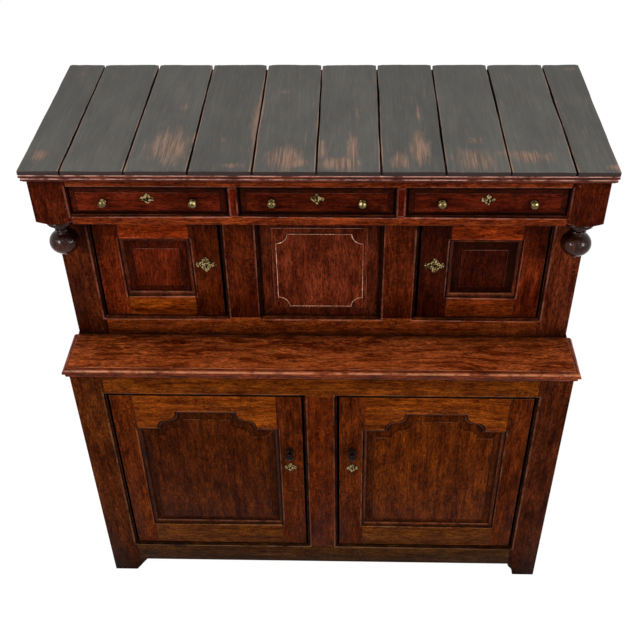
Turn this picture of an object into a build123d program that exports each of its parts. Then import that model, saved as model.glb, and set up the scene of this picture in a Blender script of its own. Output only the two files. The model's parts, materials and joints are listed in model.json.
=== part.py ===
from build123d import *
from types import SimpleNamespace
import os

os.makedirs("parts", exist_ok=True)

# Court cupboard in joined oak: a lower case with two arched doors, a recessed upper case with two
# doors and a fixed panel, and a frieze of three drawers that overhangs on turned pendants.
# Millimetres. The floor is Z = 0, the front faces -Y, and the origin is under the middle of the box.

# ---- overall sizes
case_width = 1370.0          # lower case and frieze, over the posts
case_depth = 568.0           # front of the lower case to the back
upper_inset = 5.0            # posts of the recessed upper case inside the lower ones
upper_setback = 139.0        # lower front to upper front
frieze_setback = 27.0        # lower front to frieze front
edge_lip = 14.0              # mouldings beyond the case, at the front and the sides
top_tail = 8.0               # top boards beyond the back

# ---- heights, from the floor up
foot_height = 56.0
lower_sill_height = 83.0
lower_opening_height = 661.0
lower_head_height = 81.0
shelf_thick = 24.0
upper_sill_height = 64.0
upper_opening_height = 331.0
upper_head_height = 54.0
frieze_sill_height = 26.0
drawer_opening_height = 76.0
frieze_head_height = 22.0
cornice_height = 22.0
top_thick = 12.0

# ---- members of the frames
lower_post_width = 89.0
lower_muntin_width = 93.0
upper_post_width = 85.0
centre_panel_width = 320.0
upper_muntin_width = 97.0
pendant_block = 90.0         # square of the post over each pendant
centre_drawer_width = 372.0
frieze_muntin_width = 28.0
front_post_depth = 50.0
upper_post_depth = 45.0
back_post_width = 56.0
back_post_depth = 50.0
rail_thick = 30.0
lower_sill_thick = 44.0      # carries the doors' stops and the floor boards
side_rail_thick = 26.0
side_rail_inset = 2.0        # side rails behind the faces of the posts
back_rail_thick = 26.0
back_board_thick = 10.0
floor_board_thick = 12.0
soffit_thick = 10.0

# ---- joints and fits
tenon_thick = 10.0
tenon_length = 40.0
tenon_inset = 12.0           # face of a member to its tenon
tenon_shoulder = 8.0         # rail's edge to the tenon's edge
joint_gap = 0.15             # between separate members that meet
board_gap = 1.0              # between boards laid side by side
groove_depth = 8.0
groove_inset = 13.0          # face of a member to its panel groove
panel_tongue = 6.0
pin_fit = 0.05               # radial, hinge pin in its hole
slide_fit = 0.3              # beside a sliding bolt or a drawer

# ---- doors
door_thick = 24.0
door_recess = 5.0
door_tenon_thick = 8.0
door_tenon_length = 45.0
door_tenon_shoulder = 12.0
hinge_gap = 6.0
upper_lock_gap = 7.0
lower_lock_gap = 6.5
door_sill_gap = 5.0
lower_lock_stile = 72.0
lower_hinge_stile = 65.0
lower_door_sill = 92.0
lower_door_head = 134.0      # at the shoulders of the arch
upper_lock_stile = 77.0
upper_hinge_stile = 66.0
upper_door_sill = 68.0
upper_door_head = 69.0
arch_rise = 67.0
arch_foot_width = 280.0
hinge_pin_radius = 3.0
hinge_pin_length = 56.0
hinge_pin_inset = 8.0        # from the door's edge and from its front
opening_bevel = 8.0          # width of the bevelled edge round each doorway
opening_bevel_depth = 5.0
drawer_bevel = 5.0
door_bevel = 5.0
door_bevel_depth = 4.0

# ---- panels
panel_margin = 31.0          # sloping margin of a door panel
centre_margin = 35.0
side_margin = 26.0
margin_rise = 7.0
field_step = 1.5
tablet_width = 228.0         # raised tablet of the fixed centre panel
tablet_height = 238.0
tablet_cove = 30.0
tablet_rise = 2.0

# ---- drawers
drawer_recess = 3.0
drawer_side_gap = 2.0
drawer_top_gap = 2.0
drawer_front_thick = 20.0
drawer_front_slope = 5.0
drawer_end_margin = 17.0
drawer_edge_margin = 11.0
drawer_side_thick = 10.0
drawer_side_height = 66.0
drawer_bottom_thick = 7.0
drawer_length = 400.0
drawer_lap = 9.0             # rebate in the front's ends
runner_width = 34.0
muntin_runner_width = 60.0
guide_width = 16.0
guide_height = 20.0          # above the runners
runner_length = 445.0

# ---- brass and iron
knob_head_radius = 10.5
knob_base_radius = 8.0
knob_neck_radius = 4.5
knob_shank_radius = 2.5
knob_reach = 19.0
knob_spread = 108.0          # drawer centre to each knob
knob_nut_width = 11.0
knob_nut_thick = 4.0
lock_case_width = 40.0
lock_case_thick = 10.0
door_backset = 38.0          # door's edge to the keyhole
drawer_backset = 27.0
door_throw = 13.0
drawer_throw = 7.0
bolt_width = 8.0
bolt_thick = 5.0
bolt_length = 30.0
bolt_offset = 12.0           # keyhole to the bolt's centre line
key_radius = 2.7
key_slot = 3.0
key_slot_drop = 9.0
scutcheon_thick = 1.5
upper_scutcheon = (56.0, 46.0)
lower_scutcheon = (38.0, 36.0)
drawer_scutcheon = (35.0, 29.0)
lower_key_rise = 367.0       # foot of a doorway to its keyhole
upper_key_rise = 179.0
door_knob_rise = 72.0        # keyhole to the knob over it
door_knob_radius = 12.0
door_knob_reach = 33.0
door_knob_stem = 5.0
door_knob_stem_length = 14.0

# ---- oak pegs
peg_radius = 4.0
peg_length = 27.0
peg_proud = 0.5
peg_spread = 21.0            # rail's centre line to each of a pair of pegs
door_peg_radius = 3.0
door_peg_length = 19.0

# ---- turned pendants: drops are below the frieze
pommel_rise = 7.0            # frieze's foot to the corners that the turning leaves on the block
pendant_collar_radius = 36.0
pendant_collar_height = 14.0
pendant_collar_drop = 8.0
pendant_neck_radius = 14.0
pendant_ring_radius = 18.0
pendant_ring_height = 9.0
pendant_ring_drop = 43.0
pendant_ball_radius = 38.0
pendant_ball_height = 64.0
pendant_ball_drop = 80.0
finial_radius = 8.0
finial_height = 10.0

# ---- mouldings and feet
shelf_moulding_height = 28.0
cornice_width = 60.0
bracket_width = 24.0         # left foot's bracket, along the rail
bracket_thick = 20.0
bracket_recess = 1.0
left_foot_ease = 17.0        # how far the slope under the bracket cuts into the left foot
right_foot_ease = 21.0
top_board_count = 10
top_end_board = 101.0

# ---- levels worked out from the heights
lower_sill_top = foot_height + lower_sill_height
lower_head_low = lower_sill_top + lower_opening_height
shelf_low = lower_head_low + lower_head_height
shelf_top = shelf_low + shelf_thick
upper_sill_top = shelf_top + upper_sill_height
upper_head_low = upper_sill_top + upper_opening_height
frieze_low = upper_head_low + upper_head_height
frieze_sill_top = frieze_low + frieze_sill_height
frieze_head_low = frieze_sill_top + drawer_opening_height
frieze_top = frieze_head_low + frieze_head_height
cornice_top = frieze_top + cornice_height
height = cornice_top + top_thick

# ---- planes and edges worked out from the widths
front_reach = door_knob_reach - door_recess
depth = front_reach + case_depth + top_tail
lower_front = front_reach - depth / 2
upper_front = lower_front + upper_setback
frieze_front = lower_front + frieze_setback
back = lower_front + case_depth
case_half = case_width / 2
upper_half = case_half - upper_inset
lower_opening_in = lower_muntin_width / 2
lower_opening_out = case_half - lower_post_width
upper_opening_in = centre_panel_width / 2 + upper_muntin_width
upper_opening_out = upper_half - upper_post_width
drawer_opening_in = centre_drawer_width / 2 + frieze_muntin_width
drawer_opening_out = case_half - pendant_block
back_post_front = back - back_post_depth
back_rail_back = back - back_board_thick
back_rail_front = back_rail_back - back_rail_thick
lower_back_post_in = case_half - back_post_width
upper_back_post_in = upper_half - back_post_width
lower_side_out = case_half - side_rail_inset
lower_side_in = lower_side_out - side_rail_thick
upper_side_out = upper_half - side_rail_inset
upper_side_in = upper_side_out - side_rail_thick


def block(xs, ys, zs, grow=0.0, mode=Mode.ADD):
    """Box between two limits on each axis, grown on every side."""
    limits = [sorted(pair) for pair in (xs, ys, zs)]
    with Locations(tuple(sum(pair) / 2 for pair in limits)):
        Box(*[high - low + 2 * grow for low, high in limits], mode=mode)


def add_tenons(tenons):
    """Tenons from a list of their limits."""
    for tenon in tenons:
        block(*tenon)


def cut_mortises(tenons):
    """Mortises for a list of tenons, each with the joint's gap all round."""
    for tenon in tenons:
        block(*tenon, grow=joint_gap, mode=Mode.SUBTRACT)


def front_plane(x, y, z):
    """Plane that faces the viewer, with its own X to the right and its own Y up."""
    return Plane(origin=(x, y, z), x_dir=(1, 0, 0), z_dir=(0, -1, 0))


def finish(piece, name):
    """Label one finished node and write its file."""
    piece.part.label = name
    export_step(piece.part, f"parts/{name}.step")


def rail_tenons(x_in, x_out, y_face, z_low, z_high, inset=tenon_inset, reach=tenon_length,
                shoulder=tenon_shoulder):
    """Tenons at both ends of a rail that lies along X."""
    ys = (y_face + inset, y_face + inset + tenon_thick)
    zs = (z_low + shoulder, z_high - shoulder)
    return [((x_out, x_out + reach), ys, zs), ((x_in - reach, x_in), ys, zs)]


def upright_tenons(x_low, x_high, y_face, z_low, z_high, reach):
    """Tenons at both ends of a muntin that stands between two rails."""
    xs = (x_low + tenon_shoulder, x_high - tenon_shoulder)
    ys = (y_face + tenon_inset, y_face + tenon_inset + tenon_thick)
    return [(xs, ys, (z_high, z_high + reach)), (xs, ys, (z_low - reach, z_low))]


def cut_bevel(x_low, x_high, z_low, z_high, y_face, width, deep):
    """Bevelled edge round an opening, wide at the face and gone at its depth."""
    centre = ((x_low + x_high) / 2, (z_low + z_high) / 2)
    size = (x_high - x_low, z_high - z_low)
    with BuildSketch(front_plane(centre[0], y_face, centre[1])) as near:
        Rectangle(size[0] + 2 * width, size[1] + 2 * width)
    with BuildSketch(front_plane(centre[0], y_face + deep, centre[1])) as far:
        Rectangle(*size)
    loft([near.sketch, far.sketch], ruled=True, mode=Mode.SUBTRACT)


# ---- openings in the front frames, each with its bevelled edge
lower_bay = (lower_opening_in, lower_opening_out, lower_sill_top, lower_head_low)
upper_bay = (upper_opening_in, upper_opening_out, upper_sill_top, upper_head_low)
centre_bay = (-centre_panel_width / 2, centre_panel_width / 2, upper_sill_top, upper_head_low)
outer_drawer_bay = (drawer_opening_in, drawer_opening_out, frieze_sill_top, frieze_head_low)
centre_drawer_bay = (-centre_drawer_width / 2, centre_drawer_width / 2, frieze_sill_top, frieze_head_low)


def both_sides(bay):
    """A bay and its twin on the other side."""
    return [bay, (-bay[1], -bay[0], bay[2], bay[3])]


def bevel_lower_openings():
    for bay in both_sides(lower_bay):
        cut_bevel(*bay, lower_front, opening_bevel, opening_bevel_depth)


def bevel_upper_openings():
    for bay in both_sides(upper_bay) + [centre_bay]:
        cut_bevel(*bay, upper_front, opening_bevel, opening_bevel_depth)


def bevel_frieze_openings():
    for bay in both_sides(outer_drawer_bay) + [centre_drawer_bay]:
        cut_bevel(*bay, frieze_front, drawer_bevel, drawer_bevel)


# ---- tenons of the front frames
lower_sill_tenons = rail_tenons(-lower_opening_out, lower_opening_out, lower_front,
                                foot_height, lower_sill_top)
lower_head_tenons = rail_tenons(-lower_opening_out, lower_opening_out, lower_front,
                                lower_head_low, shelf_low)
lower_muntin_tenons = upright_tenons(-lower_opening_in, lower_opening_in, lower_front,
                                     lower_sill_top, lower_head_low, tenon_length)
upper_sill_tenons = rail_tenons(-upper_opening_out, upper_opening_out, upper_front,
                                shelf_top, upper_sill_top)
upper_head_tenons = rail_tenons(-upper_opening_out, upper_opening_out, upper_front,
                                upper_head_low, frieze_low)
upper_muntin_reach = 28.0
upper_muntin_tenons = [
    tenon
    for low in (-upper_opening_in, centre_panel_width / 2)
    for tenon in upright_tenons(low, low + upper_muntin_width, upper_front,
                                upper_sill_top, upper_head_low, upper_muntin_reach)
]
frieze_shoulder = 5.0
frieze_sill_tenons = rail_tenons(-drawer_opening_out, drawer_opening_out, frieze_front,
                                 frieze_low, frieze_sill_top, shoulder=frieze_shoulder)
frieze_head_tenons = rail_tenons(-drawer_opening_out, drawer_opening_out, frieze_front,
                                 frieze_head_low, frieze_top, shoulder=frieze_shoulder)
frieze_muntin_reach = 11.0
frieze_muntin_tenons = [
    tenon
    for low in (-drawer_opening_in, centre_drawer_width / 2)
    for tenon in upright_tenons(low, low + frieze_muntin_width, frieze_front,
                                frieze_sill_top, frieze_head_low, frieze_muntin_reach)
]

# ---- rails of the sides and of the back: limits along X, Y and Z, for the right-hand side
lower_side_bays = [(foot_height, lower_sill_top), (lower_head_low, shelf_low)]
upper_side_bays = [(shelf_top, upper_sill_top), (upper_head_low, frieze_low)]
side_tenon_reach = 28.0
back_head_height = 60.0
back_middle_height = 44.0


def side_tenons(x_face, y_low, y_high, zs, shoulder=tenon_shoulder):
    """Tenons at both ends of a side rail whose outer face is at x_face."""
    xs = (x_face - tenon_inset - tenon_thick, x_face - tenon_inset)
    span = (zs[0] + shoulder, zs[1] - shoulder)
    return [(xs, (y_low - side_tenon_reach, y_low), span), (xs, (y_high, y_high + side_tenon_reach), span)]


lower_side_front = lower_front + front_post_depth
upper_side_front = upper_front + upper_post_depth
frieze_side_front = frieze_front + pendant_block
lower_side_tenons = [
    tenon
    for zs in lower_side_bays
    for tenon in side_tenons(lower_side_out, lower_side_front, back_post_front, zs)
]
upper_side_tenons = [
    tenon
    for zs in upper_side_bays
    for tenon in side_tenons(upper_side_out, upper_side_front, back_post_front, zs)
]
frieze_side_tenons = side_tenons(lower_side_out, frieze_side_front, back_post_front, (frieze_low, frieze_top),
                                 shoulder=2 * tenon_shoulder)
post_top_tenon = (
    (lower_side_out - tenon_inset - tenon_thick, lower_side_out - tenon_inset),
    (upper_front + tenon_inset, upper_side_front - tenon_inset),
    (frieze_low, frieze_low + tenon_length),
)
back_tenon_reach = 28.0
back_tenon_inset = 8.0
lower_back_bays = [(foot_height, lower_sill_top), (lower_head_low, shelf_low)]
upper_back_bays = [
    (shelf_top, upper_sill_top),
    (frieze_low - back_middle_height, frieze_low),
    (frieze_top - back_head_height, frieze_top),
]
lower_back_tenons = [
    tenon
    for zs in lower_back_bays
    for tenon in rail_tenons(-lower_back_post_in, lower_back_post_in, back_rail_front, *zs,
                             inset=back_tenon_inset, reach=back_tenon_reach)
]
upper_back_tenons = [
    tenon
    for zs in upper_back_bays
    for tenon in rail_tenons(-upper_back_post_in, upper_back_post_in, back_rail_front, *zs,
                             inset=back_tenon_inset, reach=back_tenon_reach)
]

# ---- pegs through the front tenons: X, Z and the face that each is driven from
lower_rail_centres = [(foot_height + lower_sill_top) / 2, (lower_head_low + shelf_low) / 2]
upper_rail_centres = [(shelf_top + upper_sill_top) / 2, (upper_head_low + frieze_low) / 2]
frieze_rail_centres = [(frieze_low + frieze_sill_top) / 2, (frieze_head_low + frieze_top) / 2]
peg_from_shoulder = 17.0
upper_peg_spread = 13.0
lower_peg_spots = [
    (side * (lower_opening_out + peg_from_shoulder), centre + step)
    for side in (-1, 1)
    for centre in lower_rail_centres
    for step in (-peg_spread, peg_spread)
]
lower_peg_spots += [
    (side * peg_spread, z)
    for side in (-1, 1)
    for z in (lower_sill_top - peg_from_shoulder, lower_head_low + peg_from_shoulder)
]
upper_peg_spots = [
    (side * (upper_opening_out + peg_from_shoulder), centre + step)
    for side in (-1, 1)
    for centre in upper_rail_centres
    for step in (-upper_peg_spread, upper_peg_spread)
]
upper_peg_spots += [
    (side * (centre_panel_width + upper_muntin_width) / 2, z)
    for side in (-1, 1)
    for z in (upper_sill_top - peg_from_shoulder, upper_head_low + peg_from_shoulder)
]
frieze_peg_spots = [
    (side * (drawer_opening_out + peg_from_shoulder), centre)
    for side in (-1, 1)
    for centre in frieze_rail_centres
]


def pegs(spots, face, radius, long, mode=Mode.ADD):
    """Pegs, or the holes for them, driven back from just proud of a face."""
    for x, z in spots:
        with BuildSketch(front_plane(x, face - peg_proud, z)) as end:
            Circle(radius)
        extrude(end.sketch, amount=-long, mode=mode)


def cut_peg_holes(spots, face):
    """Holes for the pegs, a joint's gap wider and deeper."""
    pegs(spots, face, peg_radius + joint_gap, peg_length + joint_gap, mode=Mode.SUBTRACT)


# ---- doors: the sizes that set the two sorts apart
upper_door = SimpleNamespace(
    name="upper",
    front=upper_front + door_recess,
    lock_edge=upper_opening_in + upper_lock_gap,
    hinge_edge=upper_opening_out - hinge_gap,
    low=upper_sill_top + door_sill_gap,
    high=upper_head_low - door_sill_gap,
    lock_stile=upper_lock_stile,
    hinge_stile=upper_hinge_stile,
    sill=upper_door_sill,
    head=upper_door_head,
    lock_height=upper_sill_top + upper_key_rise,
    scutcheon=upper_scutcheon,
)
lower_door = SimpleNamespace(
    name="lower",
    front=lower_front + door_recess,
    lock_edge=lower_opening_in + lower_lock_gap,
    hinge_edge=lower_opening_out - hinge_gap,
    low=lower_sill_top + door_sill_gap,
    high=lower_head_low - door_sill_gap,
    lock_stile=lower_lock_stile,
    hinge_stile=lower_hinge_stile,
    sill=lower_door_sill,
    head=lower_door_head,
    lock_height=lower_sill_top + lower_key_rise,
    scutcheon=lower_scutcheon,
)
for door in (upper_door, lower_door):
    door.panel_in = door.lock_edge + door.lock_stile
    door.panel_out = door.hinge_edge - door.hinge_stile
    door.panel_low = door.low + door.sill
    door.panel_high = door.high - door.head
    door.pin_x = door.hinge_edge - hinge_pin_inset
    door.pin_y = door.front + hinge_pin_inset
    door.key_x = door.lock_edge + door_backset
    door.bolt_y = door.front + door_thick - lock_case_thick / 2
    door.bolt_z = door.lock_height + bolt_offset
door_knob_height = lower_door.lock_height + door_knob_rise


def cut_hinge_holes(door):
    """Holes for a door's two pins, in the door and in the rails over and under it."""
    for z in (door.low, door.high):
        for side in (-1, 1):
            with Locations((side * door.pin_x, door.pin_y, z)):
                Cylinder(hinge_pin_radius + pin_fit, hinge_pin_length + 2 * joint_gap, mode=Mode.SUBTRACT)


def cut_keepers(door):
    """Pockets in a muntin that the doors' bolts shoot into."""
    for side in (-1, 1):
        block((side * (door.lock_edge - door_throw - slide_fit), side * door.lock_edge),
              (door.bolt_y - bolt_thick / 2, door.bolt_y + bolt_thick / 2),
              (door.bolt_z - bolt_width / 2, door.bolt_z + bolt_width / 2),
              grow=slide_fit, mode=Mode.SUBTRACT)


def rectangle_outline(size):
    """Outline of a square-cornered panel opening, drawn with a given inset."""
    def draw(inset):
        Rectangle(size[0] - 2 * inset, size[1] - 2 * inset)
    return draw


def fielded_panel(face, outline, margin):
    """Panel with a tongue, a sloping margin and a raised field, behind the face of its frame."""
    tongue_face = face.offset(-groove_inset)
    field_foot = tongue_face.offset(margin_rise)
    with BuildSketch(tongue_face) as tongue:
        outline(board_gap - groove_depth)
    extrude(tongue.sketch, amount=-panel_tongue)
    with BuildSketch(tongue_face) as slope:
        outline(board_gap)
    with BuildSketch(field_foot) as field:
        outline(margin)
    loft([slope.sketch, field.sketch], ruled=True)
    extrude(field.sketch, amount=field_step)


def cut_panel_groove(face, outline):
    """Groove for a panel's tongue, cut in whatever frames the opening."""
    with BuildSketch(face.offset(joint_gap - groove_inset)) as groove:
        outline(-groove_depth)
    extrude(groove.sketch, amount=-panel_tongue - 2 * joint_gap, mode=Mode.SUBTRACT)


def side_opening(x_face, y_low, y_high, z_low, z_high):
    """Plane of a right-hand side opening and the outline of its panel."""
    face = Plane(origin=(x_face, (y_low + y_high) / 2, (z_low + z_high) / 2), x_dir=(0, 1, 0), z_dir=(1, 0, 0))
    return face, rectangle_outline((y_high - y_low, z_high - z_low))


lower_side_opening = side_opening(lower_side_out, lower_side_front, back_post_front, lower_sill_top,
                                  lower_head_low)
upper_side_opening = side_opening(upper_side_out, upper_side_front, back_post_front, upper_sill_top,
                                  upper_head_low)

# ==== lower case ====

slope_at_post = foot_height * left_foot_ease / (left_foot_ease + bracket_width)

# Front posts run down to the floor as the feet. Inside, the left foot is eased by a straight slope,
# and the right foot by a small ogee.
with BuildPart() as lower_front_posts:
    block((lower_opening_out, case_half), (lower_front, lower_side_front), (0, shelf_low))
    cut_mortises(lower_sill_tenons + lower_head_tenons + lower_side_tenons)
    cut_panel_groove(*lower_side_opening)
    mirror(about=Plane.YZ)
    ogee_top = (lower_opening_out, foot_height)
    ogee_middle = (lower_opening_out + 0.45 * right_foot_ease, 0.65 * foot_height)
    ogee_foot = (lower_opening_out + right_foot_ease, 0.1 * foot_height)
    with BuildSketch(front_plane(0, lower_front, 0)) as eases:
        with BuildLine():
            Polyline((-lower_opening_out, slope_at_post), (-lower_opening_out, 0),
                     (-lower_opening_out - left_foot_ease, 0), (-lower_opening_out, slope_at_post))
        make_face()
        with BuildLine():
            ThreePointArc(ogee_top, (lower_opening_out + 0.15 * right_foot_ease, 0.81 * foot_height),
                          ogee_middle)
            ThreePointArc(ogee_middle, (lower_opening_out + 0.77 * right_foot_ease, 0.46 * foot_height),
                          ogee_foot)
            Polyline(ogee_foot, (ogee_foot[0], 0), (lower_opening_out, 0), ogee_top)
        make_face()
    extrude(eases.sketch, amount=-front_post_depth, mode=Mode.SUBTRACT)
    bevel_lower_openings()
    cut_peg_holes(lower_peg_spots, lower_front)
finish(lower_front_posts, "lower_front_posts")

with BuildPart() as lower_back_posts:
    block((lower_back_post_in, case_half), (back_post_front, back), (0, shelf_low))
    cut_mortises(lower_side_tenons + lower_back_tenons)
    cut_panel_groove(*lower_side_opening)
    mirror(about=Plane.YZ)
finish(lower_back_posts, "lower_back_posts")

# The sill is deeper than the head, because the floor boards bear on it behind the doors.
with BuildPart() as lower_front_rails:
    rail_span = (-lower_opening_out, lower_opening_out)
    block(rail_span, (lower_front, lower_front + lower_sill_thick), (foot_height, lower_sill_top))
    block(rail_span, (lower_front, lower_front + rail_thick), (lower_head_low, shelf_low))
    add_tenons(lower_sill_tenons + lower_head_tenons)
    cut_mortises(lower_muntin_tenons)
    bevel_lower_openings()
    cut_peg_holes(lower_peg_spots, lower_front)
    cut_hinge_holes(lower_door)
finish(lower_front_rails, "lower_front_rails")

with BuildPart() as lower_muntin:
    block((-lower_opening_in, lower_opening_in), (lower_front, lower_front + rail_thick),
          (lower_sill_top, lower_head_low))
    add_tenons(lower_muntin_tenons)
    bevel_lower_openings()
    cut_peg_holes(lower_peg_spots, lower_front)
    cut_keepers(lower_door)
finish(lower_muntin, "lower_muntin")

# A small bracket carries the left foot's slope on to the sill.
with BuildPart() as foot_bracket:
    bracket_in = bracket_width - lower_opening_out
    with BuildSketch(front_plane(0, lower_front + bracket_recess, 0)):
        with BuildLine():
            Polyline((bracket_in, foot_height), (-lower_opening_out, foot_height),
                     (-lower_opening_out, slope_at_post), (bracket_in, foot_height))
        make_face()
    extrude(amount=-bracket_thick)
finish(foot_bracket, "foot_bracket")

# Floor boards lie on the rails, notched round the four posts.
floor_front = lower_front + rail_thick + board_gap
floor_half = lower_side_out - groove_inset - panel_tongue - board_gap
floor_back = back_rail_front + back_rail_thick / 2
floor_board_count = 3
notch_play = 1.0
with BuildPart() as floor_boards:
    block((-floor_half, floor_half), (floor_front, floor_back),
          (lower_sill_top, lower_sill_top + floor_board_thick))
    for side in (-1, 1):
        block((side * lower_opening_out, side * case_half), (lower_front, lower_side_front),
              (lower_sill_top, shelf_low), grow=notch_play, mode=Mode.SUBTRACT)
        block((side * lower_back_post_in, side * case_half), (back_post_front, back),
              (lower_sill_top, shelf_low), grow=notch_play, mode=Mode.SUBTRACT)
    for i in range(1, floor_board_count):
        joint = floor_front + (floor_back - floor_front) * i / floor_board_count
        block((-floor_half, floor_half), (joint, joint + board_gap),
              (lower_sill_top, lower_sill_top + floor_board_thick), mode=Mode.SUBTRACT)
finish(floor_boards, "floor_boards")

# The shelf is three boards side by side; the upper case stands on it.
shelf_front_board = 205.0
shelf_board_count = 3
with BuildPart() as shelf_boards:
    block((-case_half, case_half), (lower_front, back), (shelf_low, shelf_top))
    for i in range(1, shelf_board_count):
        rest = case_depth - shelf_front_board
        joint = lower_front + shelf_front_board + rest * (i - 1) / (shelf_board_count - 1)
        block((-case_half, case_half), (joint, joint + joint_gap), (shelf_low, shelf_top),
              mode=Mode.SUBTRACT)
finish(shelf_boards, "shelf_boards")


def sweep_round(face, y_end):
    """Run the pending section along the front and back down both sides."""
    with BuildLine() as path:
        Polyline((-case_half, y_end), (-case_half, face), (case_half, face), (case_half, y_end))
    sweep(path=path.wire(), transition=Transition.RIGHT)


def cut_mitres(face):
    """Saw cuts that part a moulding into a front strip and two returns."""
    for side in (-1, 1):
        with Locations(Location((side * case_half, face, height / 2), (0, 0, side * 45))):
            Box(joint_gap, 8 * cornice_width, height, mode=Mode.SUBTRACT)


# Planted moulding round the shelf: a quarter round, a hollow and a fillet. Its returns stop at the
# upper case.
with BuildPart() as shelf_moulding:
    nose_low = shelf_top - 15.0
    hollow_low = shelf_top - 20.0
    with BuildSketch(Plane(origin=(-case_half, upper_front, 0), x_dir=(-1, 0, 0), z_dir=(0, 1, 0))):
        with BuildLine():
            Polyline((0, shelf_top - shelf_moulding_height), (0, shelf_top - 1.0), (3.0, shelf_top - 1.0))
            ThreePointArc((3.0, shelf_top - 1.0), (10.8, nose_low + 10.8), (edge_lip, nose_low + 3.0))
            Polyline((edge_lip, nose_low + 3.0), (edge_lip, nose_low))
            ThreePointArc((edge_lip, nose_low), (8.5, nose_low - 1.5), (6.0, hollow_low))
            Polyline((6.0, hollow_low), (8.0, hollow_low), (8.0, shelf_top - shelf_moulding_height),
                     (0, shelf_top - shelf_moulding_height))
        make_face()
    sweep_round(lower_front, upper_front)
    cut_mitres(lower_front)
finish(shelf_moulding, "shelf_moulding")


# ==== sides and back ====

# Rails of both sides, and the deep rails that close the ends of the frieze.
with BuildPart() as side_rails:
    for zs in lower_side_bays:
        block((lower_side_in, lower_side_out), (lower_side_front, back_post_front), zs)
    for zs in upper_side_bays:
        block((upper_side_in, upper_side_out), (upper_side_front, back_post_front), zs)
    for opening in (lower_side_opening, upper_side_opening):
        cut_panel_groove(*opening)
    block((lower_side_in, lower_side_out), (frieze_side_front, back_post_front),
          (frieze_low + joint_gap, frieze_top))
    add_tenons(lower_side_tenons + upper_side_tenons + frieze_side_tenons)
    cut_mortises([post_top_tenon])
    mirror(about=Plane.YZ)
finish(side_rails, "side_rails")

with BuildPart() as side_panels:
    for opening in (lower_side_opening, upper_side_opening):
        fielded_panel(*opening, side_margin)
    mirror(about=Plane.YZ)
finish(side_panels, "side_panels")

with BuildPart() as upper_back_posts:
    block((upper_back_post_in, upper_half), (back_post_front, back), (shelf_top, frieze_top))
    cut_mortises(upper_side_tenons + frieze_side_tenons + upper_back_tenons)
    cut_panel_groove(*upper_side_opening)
    mirror(about=Plane.YZ)
finish(upper_back_posts, "upper_back_posts")

with BuildPart() as back_rails:
    for post_in, bays in ((lower_back_post_in, lower_back_bays), (upper_back_post_in, upper_back_bays)):
        for zs in bays:
            block((-post_in, post_in), (back_rail_front, back_rail_back), zs)
    add_tenons(lower_back_tenons + upper_back_tenons)
finish(back_rails, "back_rails")


def boards(x_low, x_high, count, ys, zs, gap):
    """Boards laid side by side along X."""
    pitch = (x_high - x_low) / count
    for i in range(count):
        block((x_low + i * pitch + gap / 2, x_low + (i + 1) * pitch - gap / 2), ys, zs)


# Thin upright boards are nailed over the backs of the rails.
back_board_lap = 10.0
back_board_count = 8
with BuildPart() as back_boards:
    boards(-lower_back_post_in, lower_back_post_in, back_board_count, (back_rail_back, back),
           (foot_height + back_board_lap, shelf_low - back_board_lap), board_gap)
    boards(-upper_back_post_in, upper_back_post_in, back_board_count, (back_rail_back, back),
           (shelf_top + back_board_lap, frieze_top - back_board_lap), board_gap)
finish(back_boards, "back_boards")


# ==== upper case ====

centre_plane = front_plane(0, upper_front, (upper_sill_top + upper_head_low) / 2)
centre_outline = rectangle_outline((centre_panel_width, upper_opening_height))

with BuildPart() as upper_front_posts:
    block((upper_opening_out, upper_half), (upper_front, upper_side_front), (shelf_top, frieze_low))
    block(*post_top_tenon)
    cut_mortises(upper_sill_tenons + upper_head_tenons + upper_side_tenons)
    cut_panel_groove(*upper_side_opening)
    mirror(about=Plane.YZ)
    bevel_upper_openings()
    cut_peg_holes(upper_peg_spots, upper_front)
finish(upper_front_posts, "upper_front_posts")

with BuildPart() as upper_front_rails:
    rail_span = (-upper_opening_out, upper_opening_out)
    for zs in upper_side_bays:
        block(rail_span, (upper_front, upper_front + rail_thick), zs)
    add_tenons(upper_sill_tenons + upper_head_tenons)
    cut_mortises(upper_muntin_tenons)
    cut_panel_groove(centre_plane, centre_outline)
    bevel_upper_openings()
    cut_peg_holes(upper_peg_spots, upper_front)
    cut_hinge_holes(upper_door)
finish(upper_front_rails, "upper_front_rails")

with BuildPart() as upper_muntins:
    for low in (-upper_opening_in, centre_panel_width / 2):
        block((low, low + upper_muntin_width), (upper_front, upper_front + rail_thick),
              (upper_sill_top, upper_head_low))
    add_tenons(upper_muntin_tenons)
    cut_panel_groove(centre_plane, centre_outline)
    bevel_upper_openings()
    cut_peg_holes(upper_peg_spots, upper_front)
    cut_keepers(upper_door)
finish(upper_muntins, "upper_muntins")

# The fixed panel between the doors has a raised tablet with scooped corners.
tablet_drop = 5.5
with BuildPart() as centre_panel:
    fielded_panel(centre_plane, centre_outline, centre_margin)
    field_face = margin_rise + field_step - groove_inset
    with BuildSketch(centre_plane.offset(field_face)):
        with Locations((0, -tablet_drop)):
            Rectangle(tablet_width, tablet_height)
            with GridLocations(tablet_width, tablet_height, 2, 2):
                Circle(tablet_cove, mode=Mode.SUBTRACT)
    extrude(amount=tablet_rise)
finish(centre_panel, "centre_panel")


# ==== frieze ====

pendant_x = case_half - pendant_block / 2
pendant_y = frieze_front + pendant_block / 2

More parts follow.
